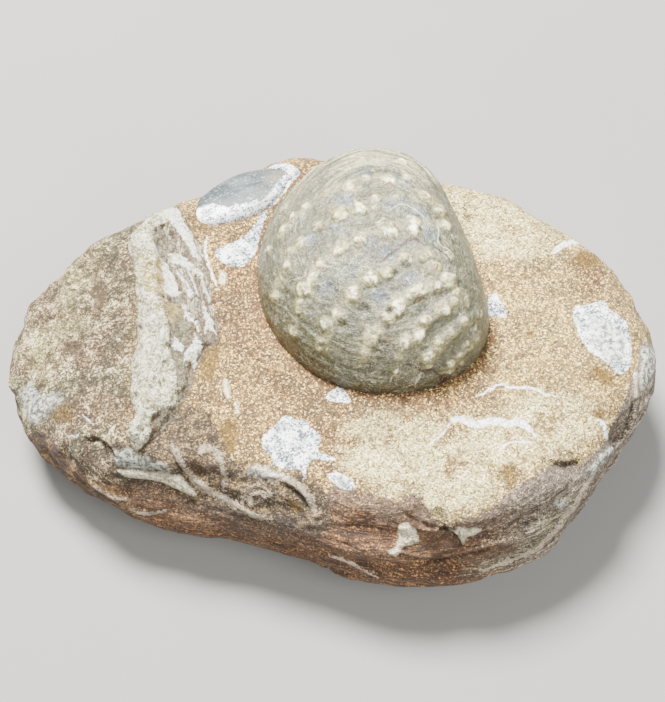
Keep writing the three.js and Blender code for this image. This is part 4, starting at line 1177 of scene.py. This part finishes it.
class Tree:
    """Adds nodes to the tree of one material or group."""

    def __init__(self, tree):
        self.tree = tree

    def put(self, socket, value):
        if isinstance(value, bpy.types.NodeSocket):
            self.tree.links.new(value, socket)
        else:
            socket.default_value = colour(value) if isinstance(value, str) else value

    def add(self, kind, inputs=None, **settings):
        node = self.tree.nodes.new("ShaderNode" + kind)
        for key, value in settings.items():
            setattr(node, key, value)
        for key, value in (inputs or {}).items():
            self.put(node.inputs[key], value)
        return node

    def math(self, operation, *values):
        """The operation on the first two values, then on that and the third, and so on."""
        result = values[0]
        for value in values[1:] or (None,):
            node = self.add("Math", {0: result}, operation=operation)
            if value is not None:
                self.put(node.inputs[1], value)
            result = node.outputs[0]
        return result

    def times(self, *values):
        return self.math("MULTIPLY", *values) if len(values) > 1 else values[0]

    def plus(self, *values):
        return self.math("ADD", *values)

    def most(self, *values):
        return self.math("MAXIMUM", *values)

    def minus(self, value, taken):
        return self.math("SUBTRACT", value, taken)

    def centred(self, noise):
        """A noise moved so that it varies about 0."""
        return self.minus(noise, 0.5)

    def step(self, value, start, end):
        """0 at start, 1 at end and smooth between."""
        inputs = {"Value": value, "From Min": start, "From Max": end}
        return self.add("MapRange", inputs, interpolation_type="SMOOTHSTEP").outputs["Result"]

    def scale(self, vector, x, y, z):
        return self.add("VectorMath", {0: vector, 1: (x, y, z)}, operation="MULTIPLY").outputs[0]

    def shift(self, vector, by):
        return self.add("VectorMath", {0: vector, 1: by}, operation="ADD").outputs[0]

    def noise(self, vector, size, detail=3.0, roughness=0.55, distortion=0.0):
        inputs = {"Vector": vector, "Scale": 1.0 / size, "Detail": detail, "Roughness": roughness,
                  "Distortion": distortion}
        return self.add("TexNoise", inputs).outputs["Fac"]

    def patches(self, vector, size, start, end, *noise):
        """Soft-edged patches: a noise stepped between two of its values."""
        return self.step(self.noise(vector, size, *noise), start, end)

    def mix(self, factor, a, b):
        node = self.add("Mix", data_type="RGBA", blend_type="MIX")
        for number, value in ((0, factor), (6, a), (7, b)):
            self.put(node.inputs[number], value)
        return node.outputs[2]

    def coat(self, base, *coats):
        """Lays colours over a base. Each coat is a colour, then the masks and amounts that are multiplied."""
        for over, *amounts in coats:
            base = self.mix(self.times(*amounts), base, over)
        return base

    def layer(self, name):
        return self.add("Attribute", attribute_name=name).outputs["Fac"]

    def use(self, group, **inputs):
        node = self.add("Group", node_tree=group)
        for key, value in inputs.items():
            self.put(node.inputs[key.replace("_", " ")], value)
        return node.outputs


def new_group(name, inputs, outputs):
    """A node group, its tree helper and its two ends. An input is a kind of socket or a usual number."""
    group = bpy.data.node_groups.new(name, "ShaderNodeTree")
    for key, value in inputs.items():
        kind = value if isinstance(value, str) else "Float"
        socket = group.interface.new_socket(key, in_out="INPUT", socket_type="NodeSocket" + kind)
        if kind == "Float":
            socket.default_value = value
    for key, kind in outputs.items():
        group.interface.new_socket(key, in_out="OUTPUT", socket_type="NodeSocket" + kind)
    given = group.nodes.new("NodeGroupInput").outputs
    out = group.nodes.new("NodeGroupOutput").inputs
    return group, Tree(group), given, out


# %% [markdown]
# ## Patterns that the pieces share
# Seven groups are enough. The first gives a place on the object in millimetres, so that every size in a
# material can be read as a real size. The second is sand: each grain has its own tone, with thin gaps between
# grains. The third gives a mask a ragged edge from a distance, the fourth draws a thin winding line from the
# distance to its side, and the fifth breaks up the edge of a painted stain. The sixth is the chalky,
# blue-flecked white of shell that is cut through. The last makes any colour lighter and darker in clouds of a
# chosen size.

# %% Groups for place and sand
place_group, t, _, out = new_group("place_in_millimetres", {}, {"Place": "Vector"})
t.put(out["Place"], t.scale(t.add("TexCoord").outputs["Object"], 1 / MM, 1 / MM, 1 / MM))

sand_group, t, given, out = new_group(
    "sand_grains", {"Place": "Vector", "Grain Size": 0.5}, {"Tone": "Float", "Height": "Float"})
sway = t.scale(t.add("TexNoise", {"Vector": given["Place"], "Scale": 1.2}).outputs[1], 0.15, 0.15, 0.15)
grains = t.add("TexVoronoi", {"Vector": t.shift(given["Place"], sway), "Randomness": 1.0,
                              "Scale": t.math("DIVIDE", 1.0, given["Grain Size"])}).outputs
t.put(out["Tone"], t.add("SeparateColor", {0: grains["Color"]}).outputs[0])
t.put(out["Height"], t.minus(1.0, grains["Distance"]))

# %% Groups for edges, lines and stains
ragged_group, t, given, out = new_group(
    "ragged_mask", {"Distance": 0.0, "Place": "Vector", "Raggedness": 0.5, "Softness": 0.15},
    {"Mask": "Float"})
coarse = t.centred(t.noise(given["Place"], 1.8, 5.0, 0.7))
fine = t.centred(t.noise(given["Place"], 0.7, 3.0, 0.7))
rough = t.plus(t.times(coarse, 3.0), t.times(fine, 1.8))
edge = t.plus(given["Distance"], t.times(rough, given["Raggedness"]))
t.put(out["Mask"], t.step(edge, given["Softness"], t.times(given["Softness"], -1.0)))

line_group, t, given, out = new_group(
    "thin_line", {"Side": 0.0, "Half Width": 0.3, "Wander": 0.0, "Softness": 0.1}, {"Mask": "Float"})
off_line = t.math("ABSOLUTE", t.plus(given["Side"], given["Wander"]))
inside = t.minus(given["Half Width"], off_line)
t.put(out["Mask"], t.step(inside, t.times(given["Softness"], -1.0), given["Softness"]))

stain_group, t, given, out = new_group(
    "broken_stain", {"Paint": 0.0, "Noise": 0.5, "Spread": 1.4, "Start": 0.2, "Full": 0.7}, {"Mask": "Float"})
painted = t.plus(given["Paint"], t.times(t.centred(given["Noise"]), given["Spread"]))
t.put(out["Mask"], t.step(painted, given["Start"], given["Full"]))


def ragged(t, place, distance, raggedness, softness):
    """A mask with a ragged border, from the distance outside it."""
    inputs = {"Distance": distance, "Place": place, "Raggedness": raggedness, "Softness": softness}
    return t.use(ragged_group, **inputs)["Mask"]


def thin_line(t, name, half_width, wander, softness):
    """A line from the layer of distances to its side, which noise makes wander."""
    inputs = {"Side": t.layer(name + "_side"), "Half Width": half_width, "Wander": wander}
    return t.use(line_group, Softness=softness, **inputs)["Mask"]


def stained(t, name, noise, spread, start, full):
    """A painted layer whose edge a noise breaks up."""
    inputs = {"Paint": t.layer(name), "Noise": noise, "Spread": spread, "Start": start, "Full": full}
    return t.use(stain_group, **inputs)["Mask"]


# %% Groups for cut shell and uneven tone
shell_group, t, given, out = new_group("cut_shell", {"Place": "Vector", "Blue": 0.5}, {"Color": "Color"})
clouds = t.patches(given["Place"], 2.6, 0.4, 0.62, 5.0, 0.7)
tones = t.use(sand_group, Place=given["Place"], Grain_Size=0.32)["Tone"]
flecks = t.plus(tones, t.times(clouds, -0.35), t.times(t.noise(given["Place"], 0.8, 3.0, 0.7), 0.5))
t.put(out["Color"], t.coat(
    t.mix(clouds, "ffffff", "e4eaea"),
    ("7f8e9b", clouds, given["Blue"]),
    ("2e3a44", t.step(flecks, 0.58, 0.3), 0.9)))

tone_group, t, given, out = new_group(
    "uneven_tone", {"Color": "Color", "Place": "Vector", "Size": 1.0, "Amount": 0.3}, {"Color": "Color"})
clouds = t.add("TexNoise", {"Vector": given["Place"], "Scale": t.math("DIVIDE", 1.0, given["Size"]),
                            "Detail": 5.0, "Roughness": 0.7}).outputs["Fac"]
gain = t.most(t.plus(1.0, t.times(t.centred(clouds), given["Amount"], 5.0)), 0.1)
t.put(out["Color"], t.add("VectorMath", {0: given["Color"], "Scale": gain}, operation="SCALE").outputs[0])

shared = (place_group, sand_group, ragged_group, line_group, stain_group, shell_group, tone_group)
print("shared groups:", ", ".join(group.name for group in shared))


# %% Begin and end a material
def new_material(name):
    """A material, its tree helper, and the place on the object in millimetres."""
    material = bpy.data.materials.new(name)
    material.use_nodes = True
    t = Tree(material.node_tree)
    return material, t, t.use(place_group)["Place"]


def finish_material(t, base, roughness, height, strength, distance, **settings):
    """Joins colour, roughness and a height to the material's one shader."""
    shader = t.tree.nodes["Principled BSDF"]
    t.put(shader.inputs["Base Color"], base)
    t.put(shader.inputs["Roughness"], roughness)
    bump = t.add("Bump", {"Strength": strength, "Distance": distance * MM, "Height": height})
    t.put(shader.inputs["Normal"], bump.outputs[0])
    for key, value in settings.items():
        shader.inputs[key].default_value = value


# %% [markdown]
# ## Sandy limestone
# The matrix is fine sand held in lime. From nearby it is a salt-and-pepper of grains over cloudy tan, warmer
# where iron has stained it. The broken front shows its beds as thin red-brown and cream streaks along its
# length, and the left end is greyer and more shelly. A finish of so many parts is made in steps: the ground,
# then its stains and painted shade, and then the flush shell sections, which are painted by their distances.

# %% What the steps of the stone's finish share
def stone_patterns(t, place):
    """The masks and noises that more than one step uses, by name."""
    left_end, right_end = t.layer("left_end"), t.layer("right_end")
    torn = t.centred(t.noise(place, 2.4, 5.0, 0.7))
    front = t.step(t.plus(t.layer("below_edge"), t.times(torn, 5.0)), -0.5, 0.8)
    rubble = t.step(t.plus(t.layer("rubble"), t.times(torn, 1.6)), 0.25, 0.7)
    sand = t.use(sand_group, Place=place, Grain_Size=0.3)
    return SimpleNamespace(
        place=place, left_end=left_end, right_end=right_end, front=front, rubble=rubble,
        broken=t.most(front, rubble), shelly=t.most(left_end, rubble),
        lower=t.step(t.plus(t.layer("below_edge"), t.times(torn, 6.0)), 1.0, 7.0),
        tone=sand["Tone"], grain_height=sand["Height"],
        dust=t.noise(place, 0.7, 4.0, 0.85),
        small=t.patches(place, 2.4, 0.36, 0.66, 5.0, 0.7),
        mottle=t.patches(place, 3.0, 0.36, 0.66, 6.0, 0.8, 0.5),
        streaks=t.noise(t.scale(place, 1 / 13, 1 / 13, 1 / 0.8), 1.0, 6.0, 0.7, 0.6),
        fibres=t.noise(t.scale(place, 1 / 4.5, 1 / 4.5, 1 / 0.5), 1.0, 4.0, 0.7, 0.3))


# %% The ground
def grain_tones(t, m):
    """The dark, middle and light tone of the grains. Each kind of ground is laid over the one before."""
    broad = t.patches(t.scale(m.place, 1 / 24, 1 / 24, 1 / 3.2), 1.0, 0.36, 0.64, 3.0, 0.5, 0.3)
    olive = t.patches(m.place, 9.0, 0.42, 0.58, 3.0, 0.6, 0.5)
    ochre = t.patches(m.place, 7.0, 0.46, 0.66, 4.0, 0.6, 1.2)
    warmth = t.times(t.layer("warm"), t.patches(m.place, 5.0, 0.3, 0.55, 4.0, 0.7))
    bleached = t.times(t.layer("pale"), t.patches(m.place, 4.5, 0.32, 0.54, 4.0, 0.6))
    tones = ("342815", "6e5631", "f0c466")
    for amount, *over in (
        (t.times(m.right_end, 0.8), "54462b", "8a7446", "ffe084"),
        (t.most(t.times(ochre, 0.6), warmth), "2e200e", "583f20", "c49244"),
        (t.times(t.layer("steep"), 0.7), "2a2016", "54442e", "b89c6e"),
        (t.times(m.left_end, 0.9), t.mix(olive, "3a2b1c", "383020"), t.mix(olive, "6b5337", "685f40"),
         t.mix(m.mottle, "a0845a", "fff4c8")),
        (t.times(bleached, 0.9), "665a38", "bcac72", "ffffd2"),
        (m.front, t.mix(broad, "2a1406", "30190d"), t.mix(broad, "563618", "5e4026"), "c08e5a"),
        (t.times(m.front, t.minus(1.0, m.lower)), "2c1c11", "594534", "ae926e"),
        (t.times(m.front, m.right_end), "2a241d", "6c6050", "d0c0a6"),
        (t.times(m.front, m.left_end), "2a1808", "583c1e", "a88250"),
        (t.times(t.layer("pale_wall"), 0.8), "413827", "736b54", "d8d0aa"),
        (t.times(m.rubble, 0.85), "2e2317", t.mix(m.mottle, "45362a", "64533a"), "a88c60"),
    ):
        tones = [t.mix(amount, old, new) for old, new in zip(tones, over)]
    return tones


def stone_ground(t, m):
    """Chooses each grain's tone by its own shade, by clouds, and by the beds in the front wall. Then paints
    shade on the faces that look down.
    """
    dark, middle, light = grain_tones(t, m)
    beds = t.plus(t.times(t.step(m.streaks, 0.54, 0.68), 0.26), t.times(t.centred(m.fibres), 1.7),
                  t.times(t.step(m.streaks, 0.44, 0.34), -0.36))
    shade = t.plus(
        t.times(t.centred(t.noise(m.place, 11.0, 4.0, 0.6, 0.8)), 0.4),
        t.times(t.centred(m.small), 0.14),
        t.times(t.centred(m.mottle), m.shelly, 0.46),
        t.times(t.centred(m.dust), m.shelly, 0.5),
        t.times(t.centred(t.patches(m.place, 5.5, 0.38, 0.62, 5.0, 0.7, 0.8)), m.left_end, 0.36),
        t.times(m.front, m.lower, beds))
    grain = t.times(t.centred(m.tone), t.plus(0.72, t.times(m.front, -0.2)))
    value = t.plus(grain, 0.36, t.times(t.step(m.dust, 0.34, 0.66), 0.28), shade)
    base = t.mix(t.step(value, 0.12, 0.58), dark, middle)
    # The grey-brown coat on the faces that look down is painted shade.
    return t.coat(base, (light, t.step(value, 0.56, 1.0)), ("6a5540", t.layer("under"), 0.4))


# %% Stains and painted shade
def stone_stains(t, m, base):
    """Iron stains, and painted shade where the shells meet the stone, along the ridge's foot and in its pits.
    """
    return t.coat(
        base,
        (t.mix(m.tone, "342607", "745606"), t.layer("amber"), t.plus(0.9, t.times(m.small, 0.1))),
        (t.mix(m.tone, "341f0f", "5f4226"), t.layer("rusty"), 0.8),
        (t.mix(m.small, "46351a", "59462a"), t.layer("brown"), 0.85),
        # A painted contact shadow round the clam's foot, broken up by patches.
        ("59371a", t.step(t.layer("shell_gap"), 3.4, 0.2), t.patches(m.place, 4.0, 0.36, 0.6), 0.75),
        # Painted shadow along the ridge's foot, darker at the left end below its cliff.
        ("4e3b29", t.step(t.layer("ridge_gap"), 1.3, 0.1), t.plus(0.15, t.times(m.left_end, 0.5))),
        # Painted shade in the pits.
        ("403223", t.layer("pit_shade"), 0.4))


# %% Shell sections, lines and crevices
def stone_shells(t, m, base):
    """Paints the shells in the stone, and painted shade in its crevices. Hands back the colour, and the masks
    that the last steps need.
    """
    patch = ragged(t, m.place, t.layer("patch"), 0.42, 0.15)
    rough_grey = t.patches(m.place, 1.1, 0.42, 0.58, 4.0, 0.75)
    sugar = t.plus(0.15, t.times(t.step(m.dust, 0.38, 0.58), 0.8))
    base = t.coat(
        base,
        (t.use(shell_group, Place=m.place, Blue=0.55)["Color"], patch),
        (t.mix(rough_grey, "555b55", "e0e2d6"), ragged(t, m.place, t.layer("grey"), 1.3, 0.9), 0.85),
        (t.mix(sugar, "5c5442", "fff4d0"), ragged(t, m.place, t.layer("cream"), 0.5, 0.25), 0.92))

    wander = t.times(t.centred(t.noise(m.place, 1.3, 4.0, 0.7)), 1.7)
    flaky = t.times(t.centred(t.noise(m.place, 0.6, 4.0, 0.75)), m.broken, 2.6)
    thick = t.plus(
        t.times(t.layer("line_width"), t.plus(0.45, t.times(t.noise(m.place, 1.9, 5.0, 0.75), 1.1))),
        t.times(m.broken, t.minus(t.noise(m.place, 2.2, 4.0, 0.7), 0.42), 2.0))
    line = thin_line(t, "line", thick, t.plus(wander, flaky), 0.14)
    crack = thin_line(t, "crack", t.layer("crack_width"), wander, 0.15)
    chalk = t.coat(
        t.mix(t.patches(m.place, 0.7, 0.42, 0.62, 3.0, 0.7), "ffffff", "b4b8b6"),
        (t.mix(m.small, "c8b08a", "806f57"), m.broken, 0.85))
    worn = t.step(t.plus(t.times(m.tone, 0.6), t.noise(m.place, 0.9, 3.0, 0.7)), 0.5, 0.75)
    whole = t.most(worn, t.minus(0.85, m.broken))
    # The dark coat along the crevices is painted shade.
    base = t.coat(base, (chalk, line, t.plus(0.35, t.times(whole, 0.6))), ("261b12", crack, 0.4))
    return base, patch, line, crack


# %% Stone material
def stone_material():
    material, t, place = new_material("sandy_limestone")
    m = stone_patterns(t, place)
    base = stone_stains(t, m, stone_ground(t, m))
    base, patch, line, crack = stone_shells(t, m, base)
    quiet = t.minus(1.0, t.times(t.most(patch, line, m.left_end, m.rubble, t.layer("amber")), 0.65))
    glitter = t.plus(0.34, t.times(m.front, -0.16))
    base = t.coat(
        base,
        (t.mix(m.front, "ffeab0", "d8aa78"), t.step(m.tone, 0.82, 0.97), quiet, glitter),
        ("302314", t.step(m.tone, 0.14, 0.04), 0.45, quiet))
    roughness = t.plus(0.8, t.times(t.centred(m.tone), 0.25))
    height = t.plus(
        t.times(m.grain_height, 0.35), t.times(m.dust, 0.8), t.times(t.noise(place, 1.6, 5.0, 0.7), 1.7),
        t.times(m.streaks, m.front, 2.4), t.times(m.fibres, m.front, 2.6), t.times(crack, -1.0),
        t.times(t.plus(m.left_end, m.rubble), t.noise(place, 2.8, 6.0, 0.75), 7.0))
    finish_material(t, base, roughness, height, 1.0, 0.55, IOR=1.5)
    return material


make_object("sandy_stone", stone_points, stone_faces, stone_layers, stone_material(), "stone_matrix")

# %% [markdown]
# ## Weathered clam shell
# The clam has turned to a waxy grey-green. Cream gathers on its ribs and knobs, and bruised blue-grey lies in
# broad patches between them. Its hollows, its keel side and its foot are darkened with painted shade. Thin
# light and dark lines follow its growth. The coats go on in this order: its own colours, then wear, painted
# shade, rust and dark spots, and last specks, cracks and threads.

# %% Colours of the clam
def clam_colours(t, place, small, drift):
    """The clam's ground colours and tints, and the growth lines that its bump needs too."""
    upper = t.layer("upper")
    base = t.coat(
        t.mix(t.patches(place, 6.0, 0.38, 0.62, 4.0, 0.6, 0.8), "2f3022", "444634"),
        ("5f5e47", small, 0.5),
        ("383e39", t.patches(place, 4.2, 0.54, 0.68, 4.0, 0.6, 0.8), 0.6),
        ("656247", upper, t.plus(0.25, t.times(small, 0.4))),
        ("716537", t.layer("halo"), t.plus(0.3, t.times(small, 0.4))))
    for name, amount, deep, pale in (
        ("olive", 0.45, "2e2916", "443e25"),
        ("cream", 0.65, "6c6640", "989268"),
        ("blue", 0.85, "202d38", "475762"),
    ):
        base = t.coat(base, (t.mix(small, deep, pale), stained(t, name, drift, 2.2, 0.2, 0.75), amount))

    def along_growth(across, along):
        inputs = {"X": t.times(t.layer("growth"), across), "Y": t.times(t.layer("along"), along)}
        return t.add("CombineXYZ", inputs).outputs[0]

    lines = t.noise(along_growth(1.3, 0.4), 1.0, 5.0, 0.65, 0.7)
    bands = t.noise(along_growth(0.5, 0.12), 1.0, 4.0, 0.7, 0.9)
    clear = t.times(t.plus(0.32, t.times(t.layer("margin"), 0.15), t.times(upper, 0.5)),
                    t.step(drift, 0.4, 0.56))
    base = t.coat(
        base,
        ("9b9879", t.step(lines, 0.51, 0.59), clear),
        ("302e1f", t.step(lines, 0.48, 0.4), clear),
        ("aaa582", t.step(bands, 0.52, 0.6), upper, 0.6),
        ("2a2c21", t.step(bands, 0.49, 0.41), upper, 0.8))
    return base, lines


# %% Wear, painted shade and spots on the clam
def clam_wear(t, place, small, drift, base):
    """Cream ribs, painted shade in the hollows and on the keel, waxy and worn knobs, rust and dark spots,
    then painted shade towards the foot and a painted shadow line along it.
    """
    share = t.layer("share")
    waxy = t.step(t.times(t.layer("knob"), t.plus(0.55, t.times(small, 0.6))), 0.15, 0.85)
    some = t.plus(0.35, t.times(t.patches(place, 3.4, 0.42, 0.56, 3.0, 0.6), 0.65))
    worn = t.step(t.plus(t.layer("white"), t.times(t.centred(small), 0.5)), 0.55, 1.1)
    return t.coat(
        base,
        ("79714e", t.layer("rib"), t.patches(place, 3.0, 0.40, 0.6), 0.6),
        # Painted shade in the hollows between the rows and in the pits.
        (t.mix(small, "2c2616", "3e3724"), t.layer("recess_shade"), 0.55),
        # Painted shade on the steep keel side.
        (t.mix(small, "3e3e33", "545547"), t.layer("keel"), 0.7),
        (t.mix(small, "7e764a", "ccc592"), waxy, some),
        ("e7e6ca", worn),
        ("573922", stained(t, "rust", drift, 2.2, 0.2, 0.75), 0.6),
        ("27291f", stained(t, "dark", drift, 1.2, 0.35, 0.7), 0.75),
        # Painted shade darkening towards the foot, and a painted shadow line right along it.
        ("272112", t.layer("margin"), t.step(share, 0.86, 0.985), 0.34),
        ("362412", t.step(share, 0.992, 0.9995), t.patches(place, 2.5, 0.36, 0.56), 0.7))


# %% Specks, cracks and fine threads on the clam
def clam_details(t, place, tone, base):
    upper = t.layer("upper")
    for size, amount in ((2.6, 0.34), (0.8, 0.5)):
        base = t.use(tone_group, Color=base, Place=place, Size=size, Amount=amount)["Color"]

    def threads(size, width, along_x):
        """Thin winding lines, where a noise crosses its middle value."""
        moved = t.shift(place, (along_x, 0, 0))
        off_middle = t.math("ABSOLUTE", t.centred(t.noise(moved, size, 3.0, 0.6, 1.0)))
        return t.times(t.step(off_middle, width, width * 0.3), t.patches(moved, 5.0, 0.46, 0.6, 2.0))

    tiny = t.noise(place, 0.5, 3.0, 0.7)
    wander = t.times(t.centred(t.noise(place, 0.9, 3.0)), 0.5)
    return t.coat(
        base,
        ("9d9a80", t.step(tiny, 0.56, 0.68), t.plus(0.2, t.times(upper, 0.25))),
        ("2b281b", t.step(tiny, 0.42, 0.32), 0.5),
        ("d8d4b0", t.step(tone, 0.7, 0.95), 0.11),
        ("242218", t.step(tone, 0.3, 0.05), 0.3),
        ("c4bfa4", thin_line(t, "vein", t.layer("vein_width"), wander, 0.1), 0.45),
        ("28130b", thin_line(t, "crack", t.layer("crack_width"), wander, 0.08), 0.95),
        ("d3cfb8", threads(3.4, 0.016, 40), 0.34),
        ("2c2a1e", threads(4.6, 0.013, 90), 0.55),
        ("2b2a20", t.patches(place, 1.0, 0.34, 0.28, 2.0, 0.5), 0.5))


# %% Clam material
def clam_material():
    material, t, place = new_material("weathered_clam")
    upper = t.layer("upper")
    small = t.patches(place, 1.7, 0.38, 0.62, 5.0, 0.7, 0.5)
    drift = t.noise(place, 1.9, 5.0, 0.7, 0.8)
    specks = t.use(sand_group, Place=place, Grain_Size=0.3)
    base, lines = clam_colours(t, place, small, drift)
    base = clam_wear(t, place, small, drift, base)
    base = clam_details(t, place, specks["Tone"], base)
    roughness = t.plus(0.36, t.times(small, 0.16), t.times(upper, 0.14))
    height = t.plus(t.noise(place, 1.1, 4.0, 0.6), t.times(lines, t.plus(0.4, t.times(upper, 0.8))),
                    t.times(specks["Height"], 0.3))
    finish_material(t, base, roughness, height, 0.9, 0.4, IOR=1.5)
    return material


make_object("clam_shell", clam_points, clam_faces, clam_layers, clam_material(), "bivalve_shell")

# %% [markdown]
# ## Chalky ridge
# The ridge is cream and white, with a surface like sugar on its crest. Its trough has kept an ochre and
# grey-green stain, and brown stone shows between the leaves of its right flank. Its hollows are darkened
# with painted shade.

# %% Ridge material
def ridge_material():
    material, t, place = new_material("chalky_ridge")
    small = t.patches(place, 1.2, 0.38, 0.62, 5.0, 0.7)
    drift = t.noise(place, 2.2, 4.0, 0.65, 0.6)
    stain = lambda name: stained(t, name, drift, 1.4, 0.2, 0.7)
    threads = t.patches(t.scale(place, 1 / 0.8, 1 / 3.6, 1 / 2), 1.0, 0.5, 0.58, 4.0, 0.7, 0.8)
    ground = t.coat(
        t.mix(t.patches(place, 3.0, 0.4, 0.6, 4.0, 0.6),
              t.mix(small, "46331a", "775b35"), t.mix(small, "4c4030", "7c6e58")),
        (t.mix(small, "c2b894", "fdf8dc"), threads, t.step(t.layer("along"), 0.5, 0.7), 0.7))
    chalk = t.coat(
        t.mix(t.step(drift, 0.4, 0.56), t.mix(small, "fffbe4", "f6ecc0"), t.mix(small, "8a8258", "c4bc8e")),
        ("5e5c44", t.patches(place, 0.6, 0.52, 0.62, 3.0, 0.8), 0.6),
        ("b8a248", t.layer("yellow"), t.plus(0.5, t.times(small, 0.45))))
    crest = ragged(t, place, t.layer("crest"), 0.55, 0.14)
    leaf = ragged(t, place, t.plus(t.layer("leaf"), 0.3), 0.85, 0.14)
    wander = t.times(t.centred(t.noise(place, 1.3, 4.0, 0.7)), 1.4)
    base = t.coat(
        t.mix(crest, ground, chalk),
        # Painted shade in the hollows.
        (t.mix(small, "544b34", "7a7053"), stain("hollow_shade"), 0.75, t.plus(0.6, t.times(small, 0.4))),
        (t.mix(small, "5a5336", "807656"), stain("trough"), 0.95),
        (t.mix(small, "7a6228", "ae9b5c"), stain("ochre"), 0.9),
        (t.mix(t.step(drift, 0.5, 0.62), "fffff0", "c2b890"), leaf),
        ("f7f5ee", thin_line(t, "line", t.layer("line_width"), wander, 0.12), 0.9),
        ("302317", thin_line(t, "crack", t.layer("crack_width"), t.times(wander, 0.5), 0.1), 0.8))
    base = t.use(tone_group, Color=base, Place=place, Size=1.3, Amount=0.42)["Color"]
    sand = t.use(sand_group, Place=place, Grain_Size=0.32)
    chalky = t.plus(0.15, t.times(t.most(crest, leaf), 0.55))
    base = t.coat(base, ("ffffee", t.step(sand["Tone"], 0.6, 0.85), chalky),
                  ("4b4228", t.step(sand["Tone"], 0.4, 0.12), 0.5))
    roughness = t.plus(0.72, t.times(small, 0.18))
    height = t.plus(t.times(t.noise(place, 1.5, 6.0, 0.8), 4.6), t.times(sand["Height"], 0.6))
    finish_material(t, base, roughness, height, 1.0, 0.6, IOR=1.5)
    return material


make_object("ridge_of_shell", ridge_points, ridge_faces, ridge_layers, ridge_material(),
            "ridge_shell")

# %% [markdown]
# ## Smooth rear shell
# This piece has worn smooth and grey-blue, with a white speckled band along the edge that faces the clam and
# a tan tint at its right end. The band is drawn as a line in plan, and widened in the material.

# %% Rear shell material
REAR_BAND = [(-31, 28.5), (-28.2, 29.2), (-24.1, 27.5), (-18.6, 28.6), (-14.5, 30.3), (-11.9, 33.3),
             (-9.4, 37.9)]
BAND_HALF_WIDTH = 2.3


def rear_layers(points):
    distance = path_distance(points[:, :2], curve_through(REAR_BAND, False, 6), 30.0)
    return {"band": distance, "east": fade(-18, -11, points[:, 0])}


def rear_material():
    material, t, place = new_material("smooth_rear_shell")
    clouds = t.patches(t.scale(place, 0.6, 1.6, 1.2), 5.0, 0.36, 0.66, 4.0, 0.55, 0.6)
    specks = t.use(sand_group, Place=place, Grain_Size=0.4)
    band = ragged(t, place, t.plus(t.layer("band"), -BAND_HALF_WIDTH), 0.8, 0.4)
    base = t.coat(
        t.mix(clouds, "272f32", "454d4d"),
        ("705d3a", t.layer("east"), t.patches(place, 3.0, 0.4, 0.6), 0.5),
        (t.use(shell_group, Place=place, Blue=0.5)["Color"], band),
        ("eef0f0", t.step(specks["Tone"], 0.8, 0.95), 0.12),
        ("4c5356", t.step(specks["Tone"], 0.2, 0.06), 0.25))
    roughness = t.plus(0.5, t.times(clouds, 0.15))
    height = t.plus(t.noise(place, 0.9, 4.0, 0.6), t.times(specks["Height"], 0.2))
    finish_material(t, base, roughness, height, 0.35, 0.2, IOR=1.5)
    return material


make_object("rear_shell_fine", rear_points, rear_faces, rear_layers(rear_points), rear_material(),
            "rear_shell")

# %% [markdown]
# ## Table and light
# The stone lies on a plain pale table under broad, soft light from above and a little to the left of the
# camera, as on an overcast day by a window. A dim light all round keeps its shaded sides readable.

# %% Table
TABLE_HALF = 2.0


def table_material():
    material, t, place = new_material("pale_table")
    fine = t.noise(place, 0.8, 3.0)
    base = t.mix(t.noise(place, 60.0, 3.0), "72716d", "797774")
    finish_material(t, base, t.plus(0.8, t.times(fine, 0.1)), fine, 0.1, 0.1)
    return material


table_mesh = bpy.data.meshes.new("table")
table_corners = [(TABLE_HALF * x, TABLE_HALF * y, 0) for x, y in ((-1, -1), (1, -1), (1, 1), (-1, 1))]
table_mesh.from_pydata(table_corners, [], [(0, 1, 2, 3)])
table_mesh.materials.append(table_material())
table = bpy.data.objects.new("table", table_mesh)
scene.collection.objects.link(table)

# %% Lights
# Each lamp as its place in metres, its width, its power and its tint. All are aimed at the stone's middle.
LAMPS = {
    "window": ((-0.2, 0.34, 0.83), 0.32, 72.0, (1.0, 0.985, 0.955)),
    "room": ((0.35, -0.55, 0.65), 0.8, 16.5, (0.98, 0.99, 1.0)),
}
LAMP_AIM = Vector((0, 0, 0.03))
ROOM_TINT, ROOM_STRENGTH = (0.97, 0.955, 0.93, 1.0), 0.58
for name, (place, width, power, tint) in LAMPS.items():
    data = bpy.data.lights.new(name, "AREA")
    data.shape, data.size, data.energy, data.color = "DISK", width, power, tint
    lamp = bpy.data.objects.new(name, data)
    lamp.location = place
    lamp.rotation_euler = (LAMP_AIM - Vector(place)).to_track_quat("-Z", "Y").to_euler()
    scene.collection.objects.link(lamp)

world = bpy.data.worlds.new("soft_room")
world.use_nodes = True
background = world.node_tree.nodes["Background"].inputs
background["Color"].default_value = ROOM_TINT
background["Strength"].default_value = ROOM_STRENGTH
scene.world = world
print("lamps:", ", ".join(LAMPS))
